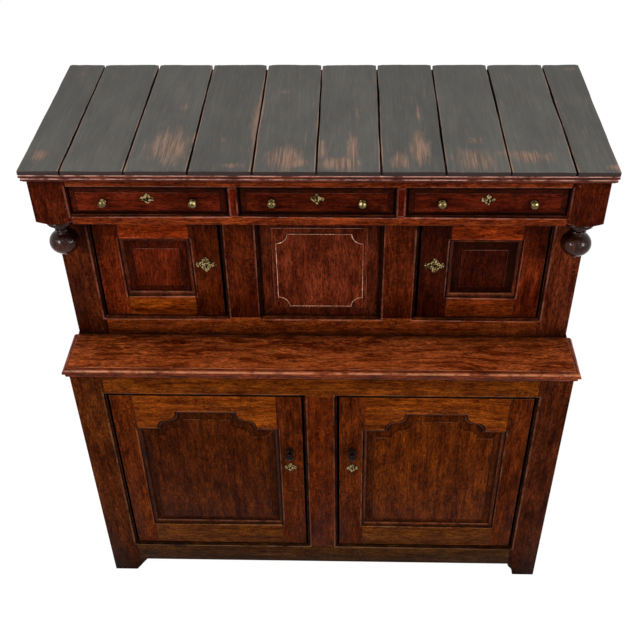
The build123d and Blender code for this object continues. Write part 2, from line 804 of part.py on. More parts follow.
# Square posts at the frieze's corners are turned below it into hanging pendants: a sloping pommel,
# a round-edged collar, a neck with a ring, and a ball with a small finial.
with BuildPart() as pendant_posts:
    turning = Plane(origin=(pendant_x, pendant_y, 0), x_dir=(1, 0, 0), z_dir=(0, -1, 0))
    axis = Axis((pendant_x, pendant_y, 0), (0, 0, 1))
    collar_top = frieze_low - pendant_collar_drop
    collar_low = collar_top - pendant_collar_height
    collar_flat = pendant_collar_radius - 4.0
    corner = (0.72 * pendant_block, frieze_low + pommel_rise)
    block((drawer_opening_out, case_half), (frieze_front, frieze_side_front), (collar_top, frieze_top))
    with BuildSketch(turning):
        with BuildLine():
            Polyline((collar_flat, collar_top), corner, (corner[0], collar_top), (collar_flat, collar_top))
        make_face()
    revolve(axis=axis, mode=Mode.SUBTRACT)
    ring_z = frieze_low - pendant_ring_drop
    ring_top = ring_z + pendant_ring_height / 2
    ring_low = ring_z - pendant_ring_height / 2
    ball_z = frieze_low - pendant_ball_drop
    ball_half = pendant_ball_height / 2
    cove_low = collar_low - 5.0
    finial_z = ball_z - ball_half - finial_height / 2
    tip = (1.5, ball_z - ball_half - finial_height)
    with BuildSketch(turning):
        with BuildLine():
            Line((0, collar_top), (collar_flat, collar_top))
            ThreePointArc((collar_flat, collar_top),
                          (pendant_collar_radius, (collar_top + collar_low) / 2), (collar_flat, collar_low))
            RadiusArc((collar_flat, collar_low), (pendant_neck_radius, cove_low), pendant_collar_radius)
            Line((pendant_neck_radius, cove_low), (pendant_neck_radius, ring_top))
            ThreePointArc((pendant_neck_radius, ring_top), (pendant_ring_radius, ring_z),
                          (pendant_neck_radius, ring_low))
            ball = EllipticalCenterArc((0, ball_z), pendant_ball_radius, ball_half, -80, arc_size=142)
            Line((pendant_neck_radius, ring_low), ball @ 1)
            ThreePointArc(ball @ 0, (finial_radius, finial_z), tip)
            Polyline(tip, (0, tip[1]), (0, collar_top))
        make_face()
    revolve(axis=axis)
    cut_mortises(frieze_sill_tenons + frieze_head_tenons + frieze_side_tenons)
    mirror(about=Plane.YZ)
    bevel_frieze_openings()
    cut_peg_holes(frieze_peg_spots, frieze_front)
finish(pendant_posts, "pendant_posts")

outer_drawer = SimpleNamespace(
    centre=(drawer_opening_in + drawer_opening_out) / 2,
    half=(drawer_opening_out - drawer_opening_in) / 2 - drawer_side_gap,
)
centre_drawer = SimpleNamespace(centre=0.0, half=centre_drawer_width / 2 - drawer_side_gap)
drawer_front_face = frieze_front + drawer_recess
drawer_front_back = drawer_front_face + drawer_front_thick
drawer_low = frieze_sill_top + drawer_top_gap - 0.5
drawer_high = frieze_head_low - drawer_top_gap
drawer_key_z = drawer_high - drawer_backset
drawer_bolt_y = drawer_front_back - lock_case_thick / 2
soffit_lap = 8.0
soffit_front = frieze_front + rail_thick - soffit_lap

# Rails over and under the drawers, and the muntins between them. The lower rail is rebated for the
# soffit, and the upper one has pockets for the drawers' bolts.
with BuildPart() as frieze_frame:
    rail_span = (-drawer_opening_out, drawer_opening_out)
    for zs in ((frieze_low, frieze_sill_top), (frieze_head_low, frieze_top)):
        block(rail_span, (frieze_front, frieze_front + rail_thick), zs)
    add_tenons(frieze_sill_tenons + frieze_head_tenons)
    cut_mortises(frieze_muntin_tenons)
    block(rail_span, (soffit_front, soffit_front + 2 * soffit_lap),
          (frieze_low - soffit_thick, frieze_low + soffit_thick), mode=Mode.SUBTRACT)
    for side in (-1, 1):
        centre = side * (centre_drawer_width + frieze_muntin_width) / 2
        half = frieze_muntin_width / 2
        block((centre - half, centre + half), (frieze_front, frieze_front + rail_thick),
              (frieze_sill_top + joint_gap, frieze_head_low - joint_gap))
        block((centre - half + tenon_shoulder, centre + half - tenon_shoulder),
              (frieze_front + tenon_inset, frieze_front + tenon_inset + tenon_thick),
              (frieze_sill_top - frieze_muntin_reach, frieze_head_low + frieze_muntin_reach))
    for drawer_x in (-outer_drawer.centre, 0, outer_drawer.centre):
        block((drawer_x + bolt_offset - bolt_width / 2, drawer_x + bolt_offset + bolt_width / 2),
              (drawer_bolt_y - bolt_thick / 2, drawer_bolt_y + bolt_thick / 2),
              (drawer_high, drawer_high + drawer_throw), grow=slide_fit, mode=Mode.SUBTRACT)
    bevel_frieze_openings()
    cut_peg_holes(frieze_peg_spots, frieze_front)
finish(frieze_frame, "frieze_frame")

# Soffit boards close the frieze from below, notched round the posts.
soffit_half = lower_side_in - 2.0
soffit_count = 8
with BuildPart() as soffit_boards:
    boards(-soffit_half, soffit_half, soffit_count, (soffit_front + joint_gap, floor_back),
           (frieze_low, frieze_low + soffit_thick), board_gap)
    for side in (-1, 1):
        block((side * drawer_opening_out, side * case_half), (frieze_front, frieze_side_front),
              (frieze_low, frieze_top), grow=notch_play, mode=Mode.SUBTRACT)
        block((side * upper_back_post_in, side * case_half), (back_post_front, back),
              (frieze_low, frieze_top), grow=notch_play, mode=Mode.SUBTRACT)
finish(soffit_boards, "soffit_boards")

# Runners carry the drawer sides level with the lower rail, and guides keep the drawers square.
runner_low = frieze_low + soffit_thick
runner_back = frieze_front + rail_thick + runner_length
with BuildPart() as drawer_runners:
    block((drawer_opening_out - runner_width, drawer_opening_out),
          (frieze_side_front + notch_play, runner_back), (runner_low, frieze_sill_top))
    centre = (centre_drawer_width + frieze_muntin_width) / 2
    block((centre - muntin_runner_width / 2, centre + muntin_runner_width / 2),
          (frieze_front + rail_thick, runner_back), (runner_low, frieze_sill_top))
    mirror(about=Plane.YZ)
finish(drawer_runners, "drawer_runners")

with BuildPart() as drawer_guides:
    guide_out = outer_drawer.centre + outer_drawer.half + slide_fit
    block((drawer_opening_out, drawer_opening_out + guide_width),
          (frieze_side_front + notch_play, runner_back), (runner_low, frieze_sill_top))
    block((guide_out, guide_out + guide_width), (frieze_side_front + notch_play, runner_back),
          (frieze_sill_top, frieze_sill_top + guide_height))
    block((centre_drawer.half + slide_fit, outer_drawer.centre - outer_drawer.half - slide_fit),
          (frieze_front + rail_thick, runner_back), (frieze_sill_top, frieze_sill_top + guide_height))
    mirror(about=Plane.YZ)
finish(drawer_guides, "drawer_guides")

# Cornice: broad strips laid flat and mitred, with two reeds along the outer edge.
with BuildPart() as cornice_moulding:
    strip_in = edge_lip - cornice_width
    fillet_reach = 6.0
    fillet_top = frieze_top + 2.0
    lower_reed = 4.5
    upper_reed = 5.5
    reed_joint = fillet_top + 2 * lower_reed
    upper_reach = edge_lip - 1.0 - upper_reed
    with BuildSketch(Plane(origin=(-case_half, back, 0), x_dir=(-1, 0, 0), z_dir=(0, 1, 0))):
        with BuildLine():
            Polyline((strip_in, cornice_top), (strip_in, frieze_top), (fillet_reach, frieze_top),
                     (fillet_reach, fillet_top))
            CenterArc((fillet_reach, fillet_top + lower_reed), lower_reed, -90, 180)
            Line((fillet_reach, reed_joint), (upper_reach, reed_joint))
            CenterArc((upper_reach, reed_joint + upper_reed), upper_reed, -90, 180)
            Line((upper_reach, cornice_top), (strip_in, cornice_top))
        make_face()
    sweep_round(frieze_front, back)
    cut_mitres(frieze_front)
    rear_half = case_half + strip_in - joint_gap
    block((-rear_half, rear_half), (back - cornice_width, back), (frieze_top, cornice_top))
finish(cornice_moulding, "cornice_moulding")

# The top is ten short boards that run from front to back.
with BuildPart() as top_boards:
    top_half = case_half + edge_lip
    inner_half = top_half - top_end_board
    top_span = (frieze_front - edge_lip, back + top_tail)
    top_gap = 1.5
    boards(-inner_half, inner_half, top_board_count - 2, top_span, (cornice_top, height), top_gap)
    block((inner_half + top_gap / 2, top_half), top_span, (cornice_top, height))
    block((-top_half, -inner_half - top_gap / 2), top_span, (cornice_top, height))
finish(top_boards, "top_boards")

with BuildPart() as joint_pegs:
    pegs(lower_peg_spots, lower_front, peg_radius, peg_length)
    pegs(upper_peg_spots, upper_front, peg_radius, peg_length)
    pegs(frieze_peg_spots, frieze_front, peg_radius, peg_length)
finish(joint_pegs, "joint_pegs")

# Iron pins at the top and bottom of each door's hinge stile stand half in the rails.
with BuildPart() as hinge_pins:
    for door in (upper_door, lower_door):
        for z in (door.low, door.high):
            for side in (-1, 1):
                with Locations((side * door.pin_x, door.pin_y, z)):
                    Cylinder(hinge_pin_radius, hinge_pin_length)
finish(hinge_pins, "hinge_pins")


# ==== doors ====

def arched_outline(door):
    """Outline of the lower doors' opening: square shoulders and a raised flat crown.

    Insets move it inwards; the scrolls between shoulder and crown slide sideways with them.
    """
    step = 6.0
    slide = 0.6
    half = (door.panel_out - door.panel_in) / 2
    tall = door.panel_high - door.panel_low
    bend = (arch_rise - 2 * step) / 2

    def draw(inset):
        side = half - inset
        shoulder = tall - inset
        knee = arch_foot_width / 2 - slide * inset
        crown_x = knee - 2 * bend
        crown = shoulder + arch_rise
        with BuildLine() as edge:
            Polyline((0, inset), (side, inset), (side, shoulder), (knee, shoulder), (knee, shoulder + step))
            CenterArc((knee - bend, shoulder + step), bend, 0, 90)
            CenterArc((knee - bend, crown - step), bend, 270, -90)
            Polyline((crown_x, crown - step), (crown_x, crown), (0, crown))
            mirror(about=Plane.YZ)
        make_face(edge.edges())
    return draw


def square_outline(door):
    """Outline of the upper doors' square opening, with its origin at the middle of its foot."""
    wide = door.panel_out - door.panel_in
    tall = door.panel_high - door.panel_low

    def draw(inset):
        with Locations((0, tall / 2)):
            Rectangle(wide - 2 * inset, tall - 2 * inset)
    return draw


upper_door.outline = square_outline(upper_door)
lower_door.outline = arched_outline(lower_door)
for door in (upper_door, lower_door):
    door.face = front_plane((door.panel_in + door.panel_out) / 2, door.front, door.panel_low)
    door.depths = (door.front, door.front + door_thick)


def finish_pair(piece, stage, role):
    """Write a right-hand piece and its mirrored left-hand twin."""
    finish(piece, f"{stage}_right_door_{role}")
    with BuildPart() as twin:
        add(piece.part)
        mirror(about=Plane.YZ, mode=Mode.REPLACE)
    finish(twin, f"{stage}_left_door_{role}")


def cut_keyhole(x, y_near, y_far, z):
    """Keyhole through whatever lies between two depths."""
    with BuildSketch(front_plane(x, y_near, z)) as hole:
        Circle(key_radius)
        with Locations((0, -key_slot_drop / 2)):
            Rectangle(key_slot, key_slot_drop)
    extrude(hole.sketch, amount=y_near - y_far, mode=Mode.SUBTRACT)


def scutcheon(x, y_face, z, size):
    """Pierced brass plate round a keyhole: a lozenge with hollow sides, and a lobe at each point."""
    wide, high = size
    lobe = 0.1 * wide
    with BuildSketch(front_plane(x, y_face, z)) as plate:
        Polygon((wide / 2, 0), (0, high / 2), (-wide / 2, 0), (0, -high / 2))
        with GridLocations(0.76 * wide, 0.8 * high, 2, 2):
            Circle(0.22 * wide, mode=Mode.SUBTRACT)
        with Locations((0, high / 2 - lobe), (0, lobe - high / 2)):
            Circle(lobe)
        with GridLocations(0.74 * wide, 0.17 * wide, 2, 2):
            Circle(0.7 * lobe)
        with GridLocations(0.4 * wide, 0.16 * wide, 2, 2):
            Circle(0.32 * lobe, mode=Mode.SUBTRACT)
    extrude(plate.sketch, amount=scutcheon_thick)


def lock_case_limits(door):
    """Limits of a door's lock case, let in at the back of the lock stile."""
    return ((door.lock_edge, door.lock_edge + door_backset + bolt_offset),
            (door.depths[1] - lock_case_thick, door.depths[1]),
            (door.lock_height + bolt_offset - 0.75 * lock_case_width,
             door.lock_height + bolt_offset + 0.25 * lock_case_width))


def bolt_limits(door):
    """Limits of a door's bolt, drawn back flush with the door's edge."""
    return ((door.lock_edge, door.lock_edge + bolt_length),
            (door.bolt_y - bolt_thick / 2, door.bolt_y + bolt_thick / 2),
            (door.bolt_z - bolt_width / 2, door.bolt_z + bolt_width / 2))


for door in (upper_door, lower_door):
    peg_step = 15.0
    peg_x = (door.panel_in - peg_step, door.panel_out + peg_step)
    sill_mid = door.low + door.sill / 2
    head_mid = door.high - door.head / 2
    door_peg_spots = [
        (x, z + step)
        for x in peg_x
        for z in (sill_mid, head_mid)
        for step in (-peg_step, peg_step)
    ]
    tenon_ys = (door.front + groove_inset - 1.0, door.front + groove_inset - 1.0 + door_tenon_thick)
    door_tenons = [
        ((door.panel_in - door_tenon_length, door.panel_out + door_tenon_length), tenon_ys, zs)
        for zs in (
            (door.low + door_tenon_shoulder, door.panel_low - door_tenon_shoulder),
            (door.panel_high + door_tenon_shoulder, door.high - door_tenon_shoulder),
        )
    ]

    # Two stiles and two rails, tenoned and pegged round the panel.
    with BuildPart() as frame:
        block((door.lock_edge, door.panel_in), door.depths, (door.low, door.high))
        block((door.panel_out, door.hinge_edge), door.depths, (door.low, door.high))
        cut_mortises(door_tenons)
        for zs in ((door.low, door.panel_low), (door.panel_high, door.high)):
            block((door.panel_in + joint_gap, door.panel_out - joint_gap), door.depths, zs)
        add_tenons(door_tenons)
        with BuildSketch(door.face):
            door.outline(0)
        extrude(amount=-door_thick, mode=Mode.SUBTRACT)
        with BuildSketch(door.face):
            door.outline(-door_bevel)
        with BuildSketch(door.face.offset(-door_bevel_depth)):
            door.outline(0)
        loft(ruled=True, mode=Mode.SUBTRACT)
        cut_panel_groove(door.face, door.outline)
        cut_hinge_holes(door)
        block(*lock_case_limits(door), grow=joint_gap, mode=Mode.SUBTRACT)
        cut_keyhole(door.key_x, door.front, door.depths[1], door.lock_height)
        if door is lower_door:
            with BuildSketch(front_plane(door.key_x, door.front, door_knob_height)):
                Circle(door_knob_stem + joint_gap)
            extrude(amount=-door_knob_stem_length - joint_gap, mode=Mode.SUBTRACT)
        pegs(door_peg_spots, door.front, door_peg_radius + joint_gap, door_peg_length + joint_gap,
             mode=Mode.SUBTRACT)
        pegs(door_peg_spots, door.front, door_peg_radius, door_peg_length)
    finish_pair(frame, door.name, "frame")

    with BuildPart() as panel:
        fielded_panel(door.face, door.outline, panel_margin)
    finish_pair(panel, door.name, "panel")

    # Lock case with its bolt's channel, and the brass plate on the door's face.
    with BuildPart() as lock:
        block(*lock_case_limits(door))
        block(*bolt_limits(door), grow=slide_fit, mode=Mode.SUBTRACT)
        scutcheon(door.key_x, door.front, door.lock_height, door.scutcheon)
        cut_keyhole(door.key_x, door.front - scutcheon_thick, door.depths[1], door.lock_height)
    finish_pair(lock, door.name, "lock")

    with BuildPart() as bolt:
        block(*bolt_limits(door))
    finish_pair(bolt, door.name, "bolt")

# Turned knobs over the keyholes of the lower doors.
with BuildPart() as door_knob:
    collar = (3.0, 9.0)
    neck = 5.5
    ring_start = 8.0
    ring_end = 15.0
    head_start = 18.0
    head_middle = 25.0
    with BuildSketch(Plane(origin=(lower_door.key_x, lower_door.front, door_knob_height),
                           x_dir=(0, -1, 0), z_dir=(-1, 0, 0))):
        with BuildLine():
            Polyline((-door_knob_stem_length, 0), (-door_knob_stem_length, door_knob_stem),
                     (0, door_knob_stem), (0, collar[1]), collar, (neck, neck), (ring_start, neck))
            ThreePointArc((ring_start, neck), ((ring_start + ring_end) / 2, neck + 4.0), (ring_end, neck))
            Line((ring_end, neck), (head_start, neck))
            Spline((head_start, neck), (head_middle, door_knob_radius), (door_knob_reach, 0),
                   tangents=((0.6, 1), (0, -1)))
            Line((door_knob_reach, 0), (-door_knob_stem_length, 0))
        make_face()
    revolve(axis=Axis((lower_door.key_x, lower_door.front, door_knob_height), (0, -1, 0)))
finish_pair(door_knob, "lower", "knob")


# ==== drawers ====

def build_drawer(drawer, side, name):
    """One drawer: front, box, two knobs, and a lock with its bolt."""
    centre = side * drawer.centre
    sides = (centre - drawer.half, centre + drawer.half)
    box_low = frieze_sill_top + slide_fit
    box_high = box_low + drawer_side_height
    box_back = drawer_front_face + drawer_length
    bottom = (box_low + 6.0, box_low + 6.0 + drawer_bottom_thick)
    lap_front = drawer_front_back - drawer_lap
    groove_in = 5.0
    slab_front = drawer_front_face + 1.0 + drawer_front_slope
    middle = (drawer_low + drawer_high) / 2
    size = (2 * drawer.half, drawer_high - drawer_low)
    field = (size[0] - 2 * drawer_end_margin, size[1] - 2 * drawer_edge_margin)
    knob_xs = (centre - knob_spread, centre + knob_spread)
    knob_z = drawer_key_z - 9.0
    bottom_limits = ((sides[0] + groove_in, sides[1] - groove_in),
                     (drawer_front_back - groove_in, box_back), bottom)
    back_limits = ((sides[0] + groove_in, sides[1] - groove_in),
                   (box_back - drawer_side_thick - groove_in, box_back - groove_in),
                   (bottom[1] + joint_gap, box_high))
    case_limits = ((centre - lock_case_width / 2, centre + lock_case_width / 2),
                   (drawer_front_back - lock_case_thick, drawer_front_back),
                   (drawer_key_z - 0.6 * lock_case_width, drawer_high))
    bolt_box = ((centre + bolt_offset - bolt_width / 2, centre + bolt_offset + bolt_width / 2),
                (drawer_bolt_y - bolt_thick / 2, drawer_bolt_y + bolt_thick / 2),
                (drawer_high - bolt_length, drawer_high))

    with BuildPart() as front:
        block(sides, (slab_front, drawer_front_back), (drawer_low, drawer_high))
        with BuildSketch(front_plane(centre, slab_front, middle)):
            Rectangle(*size)
        with BuildSketch(front_plane(centre, drawer_front_face + 1.0, middle)):
            Rectangle(*field)
        loft(ruled=True)
        with BuildSketch(front_plane(centre, drawer_front_face + 1.0, middle)):
            Rectangle(*field)
        extrude(amount=1.0)
        for end, inwards in ((sides[0], 1), (sides[1], -1)):
            block((end - inwards, end + inwards * (drawer_side_thick + joint_gap)),
                  (lap_front, drawer_front_back + 1.0), (box_low - 1.0, drawer_high + 1.0),
                  mode=Mode.SUBTRACT)
        block(*bottom_limits, grow=joint_gap, mode=Mode.SUBTRACT)
        block(*case_limits, grow=joint_gap, mode=Mode.SUBTRACT)
        cut_keyhole(centre, drawer_front_face, drawer_front_back, drawer_key_z)
        for x in knob_xs:
            with BuildSketch(front_plane(x, drawer_front_face, knob_z)):
                Circle(knob_shank_radius + joint_gap)
            extrude(amount=-drawer_front_thick, mode=Mode.SUBTRACT)
    finish(front, f"{name}_drawer_front")

    # Sides lapped into the front, a back housed between them, and a bottom in grooves.
    with BuildPart() as box:
        for end, inwards in ((sides[0], 1), (sides[1], -1)):
            block((end, end + inwards * drawer_side_thick), (lap_front + joint_gap, box_back),
                  (box_low, box_high))
        block(*bottom_limits, grow=joint_gap, mode=Mode.SUBTRACT)
        block(*back_limits, grow=joint_gap, mode=Mode.SUBTRACT)
        block(*bottom_limits)
        block(*back_limits)
    finish(box, f"{name}_drawer_box")

    # Each knob's shank passes through the front to a square nut inside.
    with BuildPart() as knobs:
        nut_front = drawer_front_back + joint_gap
        back_end = -drawer_front_thick - knob_nut_thick - 2.0
        base_thick = 1.5
        neck_start = 3.0
        neck_end = knob_reach / 2
        rim = neck_end + 3.0
        crown_radius = 3.0
        for x in knob_xs:
            block((x - knob_nut_width / 2, x + knob_nut_width / 2), (nut_front, nut_front + knob_nut_thick),
                  (knob_z - knob_nut_width / 2, knob_z + knob_nut_width / 2))
            with Locations(Location((x, nut_front, knob_z), (90, 0, 0))):
                Cylinder(knob_shank_radius + joint_gap, 4 * knob_nut_thick, mode=Mode.SUBTRACT)
            with BuildSketch(Plane(origin=(x, drawer_front_face, knob_z), x_dir=(0, -1, 0),
                                   z_dir=(-1, 0, 0))):
                with BuildLine():
                    Polyline((back_end, 0), (back_end, knob_shank_radius), (0, knob_shank_radius),
                             (0, knob_base_radius), (base_thick, knob_base_radius),
                             (neck_start, knob_neck_radius), (neck_end, knob_neck_radius),
                             (rim, knob_head_radius))
                    RadiusArc((rim, knob_head_radius), (knob_reach, crown_radius), knob_head_radius)
                    Polyline((knob_reach, crown_radius), (knob_reach, 0), (back_end, 0))
                make_face()
            revolve(axis=Axis((x, drawer_front_face, knob_z), (0, -1, 0)))
    finish(knobs, f"{name}_drawer_knobs")

    with BuildPart() as lock:
        block(*case_limits)
        block(*bolt_box, grow=slide_fit, mode=Mode.SUBTRACT)
        scutcheon(centre, drawer_front_face, drawer_key_z, drawer_scutcheon)
        cut_keyhole(centre, drawer_front_face - scutcheon_thick, drawer_front_back, drawer_key_z)
    finish(lock, f"{name}_drawer_lock")

    with BuildPart() as bolt:
        block(*bolt_box)
    finish(bolt, f"{name}_drawer_bolt")


build_drawer(outer_drawer, -1, "left")
build_drawer(centre_drawer, 0, "centre")
build_drawer(outer_drawer, 1, "right")
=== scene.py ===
import bmesh
import bpy
import json
import math
import random
from mathutils import Matrix, Vector


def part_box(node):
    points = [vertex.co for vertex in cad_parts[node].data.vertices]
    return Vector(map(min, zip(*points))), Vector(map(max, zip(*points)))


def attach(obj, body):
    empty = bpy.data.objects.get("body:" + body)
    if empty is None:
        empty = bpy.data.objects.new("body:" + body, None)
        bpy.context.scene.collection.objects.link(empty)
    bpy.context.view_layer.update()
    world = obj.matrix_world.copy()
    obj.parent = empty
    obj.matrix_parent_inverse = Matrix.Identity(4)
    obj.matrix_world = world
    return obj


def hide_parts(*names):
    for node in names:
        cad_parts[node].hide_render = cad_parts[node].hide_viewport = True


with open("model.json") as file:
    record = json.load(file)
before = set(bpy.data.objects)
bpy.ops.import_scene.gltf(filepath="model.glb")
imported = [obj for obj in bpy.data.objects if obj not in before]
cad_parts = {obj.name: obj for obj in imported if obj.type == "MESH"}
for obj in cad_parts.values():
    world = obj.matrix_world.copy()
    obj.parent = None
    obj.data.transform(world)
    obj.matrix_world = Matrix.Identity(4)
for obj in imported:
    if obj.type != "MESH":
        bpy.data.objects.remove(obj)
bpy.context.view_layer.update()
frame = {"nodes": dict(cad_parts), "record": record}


# ------------------------------ the room it is shown in
# A white floor and surround, with a round softbox high off each front corner of the cupboard and a wide
# one above. The camera stands close, above the top boards, and looks down at the front.

def linear(hex_colour):
    """A colour written in sRGB hex, as the linear one that a shader works in."""
    channels = [int(hex_colour[i:i + 2], 16) / 255 for i in (1, 3, 5)]
    return [c / 12.92 if c <= 0.04045 else ((c + 0.055) / 1.055) ** 2.4 for c in channels] + [1.0]


def add_node(tree, kind, inputs=None, **settings):
    """One node with its settings; a bare kind is a shader's. Each input is a plain value, the output that
    feeds it, or a node, whose first live output feeds it. Map Range takes its limits at 1 and 2 and what
    they become at 3 and 4, and Mix takes its share at 0 and its two colours at 6 and 7."""
    made = tree.nodes.new(kind if "Node" in kind else f"ShaderNode{kind}")
    for name, value in settings.items():
        setattr(made, name, value)
    for socket, value in (inputs or {}).items():
        if isinstance(value, bpy.types.Node):
            value = next(output for output in value.outputs if output.enabled)
        if isinstance(value, bpy.types.NodeSocket):
            tree.links.new(value, made.inputs[socket])
        else:
            made.inputs[socket].default_value = value
    return made


def set_out(name, data):
    """A new object in the scene, at the origin."""
    made = bpy.data.objects.new(name, data)
    bpy.context.scene.collection.objects.link(made)
    return made


def new_finish(name):
    """A new material, and its empty tree of nodes."""
    finish = bpy.data.materials.new(name)
    finish.use_nodes = True
    finish.node_tree.nodes.clear()
    return finish, finish.node_tree


def looked_at(tree):
    """1 where the eye, metal or glass looks at the background, and 0 where the background gives light."""
    ray = add_node(tree, "LightPath").outputs
    seen = add_node(tree, "Math", {0: ray["Is Camera Ray"], 1: ray["Is Glossy Ray"]}, operation="MAXIMUM")
    return add_node(tree, "Math", {0: seen, 1: ray["Is Transmission Ray"]}, operation="MAXIMUM")


camera_place = Vector((0.07584, -2.18942, 2.67983))
camera_forward = Vector((-0.02898857, 0.76685697, -0.64116304))
camera_up = Vector((-0.0070547, 0.64125968, 0.76729151))
camera = set_out("camera", bpy.data.cameras.new("camera"))
camera.data.lens = 54.533
camera.data.sensor_width = 36.0
turn = Matrix((camera_forward.cross(camera_up), camera_up, -camera_forward)).transposed()
camera.matrix_world = Matrix.Translation(camera_place) @ turn.to_4x4()
bpy.context.scene.camera = camera

# matt paper, which takes the cupboard's shadow and looks all but white
floor_half = 7.0
floor_mesh = bpy.data.meshes.new("floor")
floor_mesh.from_pydata([(x * floor_half, y * floor_half, 0)
                        for x, y in ((-1, -1), (1, -1), (1, 1), (-1, 1))], [], [(0, 1, 2, 3)])
floor = set_out("floor", floor_mesh)
floor_paper, tree = new_finish("pale_floor_paper")
share = add_node(tree, "Math", {0: looked_at(tree), 1: 0.9}, operation="MULTIPLY")
paper = add_node(tree, "BsdfDiffuse", {"Color": linear("#ebe9e6")})
white = add_node(tree, "Emission", {"Color": (1, 1, 1, 1), "Strength": 1.08})
mixed = add_node(tree, "MixShader", {0: share, 1: paper, 2: white})
add_node(tree, "OutputMaterial", {"Surface": mixed})
floor_mesh.materials.append(floor_paper)

# a surround that looks white and gives about a third of that as light
world = bpy.data.worlds.new("white_surround")
world.use_nodes = True
tree = world.node_tree
tree.nodes.clear()
strength = add_node(tree, "MapRange", {0: looked_at(tree), 3: 0.36, 4: 1.0})
sky = add_node(tree, "Background", {"Color": (1, 1, 1, 1), "Strength": strength})
add_node(tree, "OutputWorld", {"Surface": sky})
bpy.context.scene.world = world

cupboard_middle = Vector((0, 0, 0.8))
for name, place, size, power in (("softbox_left", (-1.8, -1.9, 2.65), (0.7, 0.7), 58),
                                 ("softbox_right", (2.4, -1.75, 2.35), (0.7, 0.7), 58),
                                 ("softbox_above", (0, -1.2, 3.5), (2.0, 0.9), 20)):
    lamp = bpy.data.lights.new(name, "AREA")
    lamp.shape = "ELLIPSE"
    lamp.size, lamp.size_y = size
    lamp.energy = power
    softbox = set_out(name, lamp)
    softbox.visible_glossy = name != "softbox_above"
    aim = cupboard_middle - Vector(place)
    softbox.matrix_world = Matrix.Translation(place) @ aim.to_track_quat("-Z", "Y").to_matrix().to_4x4()
bpy.context.scene.view_settings.view_transform = "Standard"


# ------------------------------ lower case, front and back frames
# Two front corner posts that run down as feet, two back posts, a bottom and a top rail and the muntin
# between the doors. Riven and planed oak, mortised, tenoned and pegged, then darkened by wax, and
# painted darker in its corners and under overhangs as painted shade.

body_of = {node: body for body, nodes in frame["record"]["behaviour"]["bodies"].items() for node in nodes}
axis_number = {"X": 0, "Y": 1, "Z": 2}
lower_middle = 0.5                      # the lower stage's bottom rails are below this, its top ones above
square_on = 0.993                       # a normal with this much along one axis is square to it
# how pale each kind of face is made, partly as rubbed wood and partly as painted highlight
rubbed_and_lit_by_mark = (0.0, 0.5, 0.9, 0.1)   # plain face, square arris, front and back arris of a slope


def separate_solids(node):
    """The triangles of a CAD node, sorted into its loose solids. A solid is whole once no edge is open."""
    mesh = frame["nodes"][node].data
    points = [tuple(round(c, 6) for c in vertex.co) for vertex in mesh.vertices]
    solids, faces, open_edges = [], [], set()
    for polygon in mesh.polygons:
        corners = [points[i] for i in polygon.vertices]
        if len(set(corners)) < 3:
            continue
        faces.append(corners)
        for start, end in zip(corners, corners[1:] + corners[:1]):
            if (end, start) in open_edges:
                open_edges.remove((end, start))
            else:
                open_edges.add((start, end))
        if not open_edges:
            solids.append(faces)
            faces = []
    return solids


def box_round(points):
    """The low and the high corner of the box round some points."""
    return [Vector([pick(point[a] for point in points) for a in range(3)]) for pick in (min, max)]


def is_slanted(face):
    """Whether a face looks along none of the three axes."""
    return max(abs(n) for n in face.normal) < square_on


def is_square(edge):
    """Whether an edge touches no slanted face."""
    return not any(is_slanted(face) for face in edge.link_faces)


def is_slope_front(edge):
    """Whether an edge parts a slanted face from a forward face, where hands rub and a highlight is painted.
    """
    return not is_square(edge) and any(abs(face.normal.y) > square_on for face in edge.link_faces)


def is_slope_back(edge):
    """Whether an edge lies at the inner side of a slanted face, where dirt stays and no highlight is painted.
    """
    return not is_square(edge) and not is_slope_front(edge)


def softened_solid(faces, arris):
    """One solid of flat faces, with its long outer arrises rounded as planing and hands leave them. Those
    in front of a slanted face are rounded twice as wide, so a flat slope turns into a moulding. Each new
    face is marked with its place in rubbed_and_lit_by_mark."""
    nearly_flat, sharp = 0.012, math.radians(10)
    solid = bmesh.new()
    corners = {}
    for face in faces:
        for corner in face:
            if corner not in corners:
                corners[corner] = solid.verts.new(corner)
        made = [corners[corner] for corner in face]
        if not solid.faces.get(made):
            solid.faces.new(made)
    bmesh.ops.dissolve_limit(solid, angle_limit=nearly_flat, verts=solid.verts, edges=solid.edges)
    bmesh.ops.recalc_face_normals(solid, faces=solid.faces)
    for mark, width, wanted in ((2, 2 * arris, is_slope_front), (1, arris, is_square),
                                (3, arris, is_slope_back)):
        outer = [edge for edge in solid.edges if edge.is_manifold and edge.is_convex
                 and edge.calc_length() > 3 * width and edge.calc_face_angle() > sharp
                 and not any(face.material_index for face in edge.link_faces) and wanted(edge)]
        if width and outer:
            bmesh.ops.bevel(solid, geom=outer, offset=width, offset_type="OFFSET", segments=2, profile=0.5,
                            affect="EDGES", clamp_overlap=True, material=mark)
    return solid


def add_layer(mesh, name, kind, values, domain="POINT"):
    """Values kept at a mesh's points or faces, for its finish or its rule to read."""
    key = {"FLOAT_VECTOR": "vector", "FLOAT_COLOR": "color"}.get(kind, "value")
    mesh.attributes.new(name, kind, domain).data.foreach_set(key, values)


def smoothed(mesh, sharp):
    """A mesh shaded smooth, but for the edges sharper than so many degrees."""
    mesh.polygons.foreach_set("use_smooth", [True] * len(mesh.polygons))
    mesh.set_sharp_from_angle(angle=math.radians(sharp))


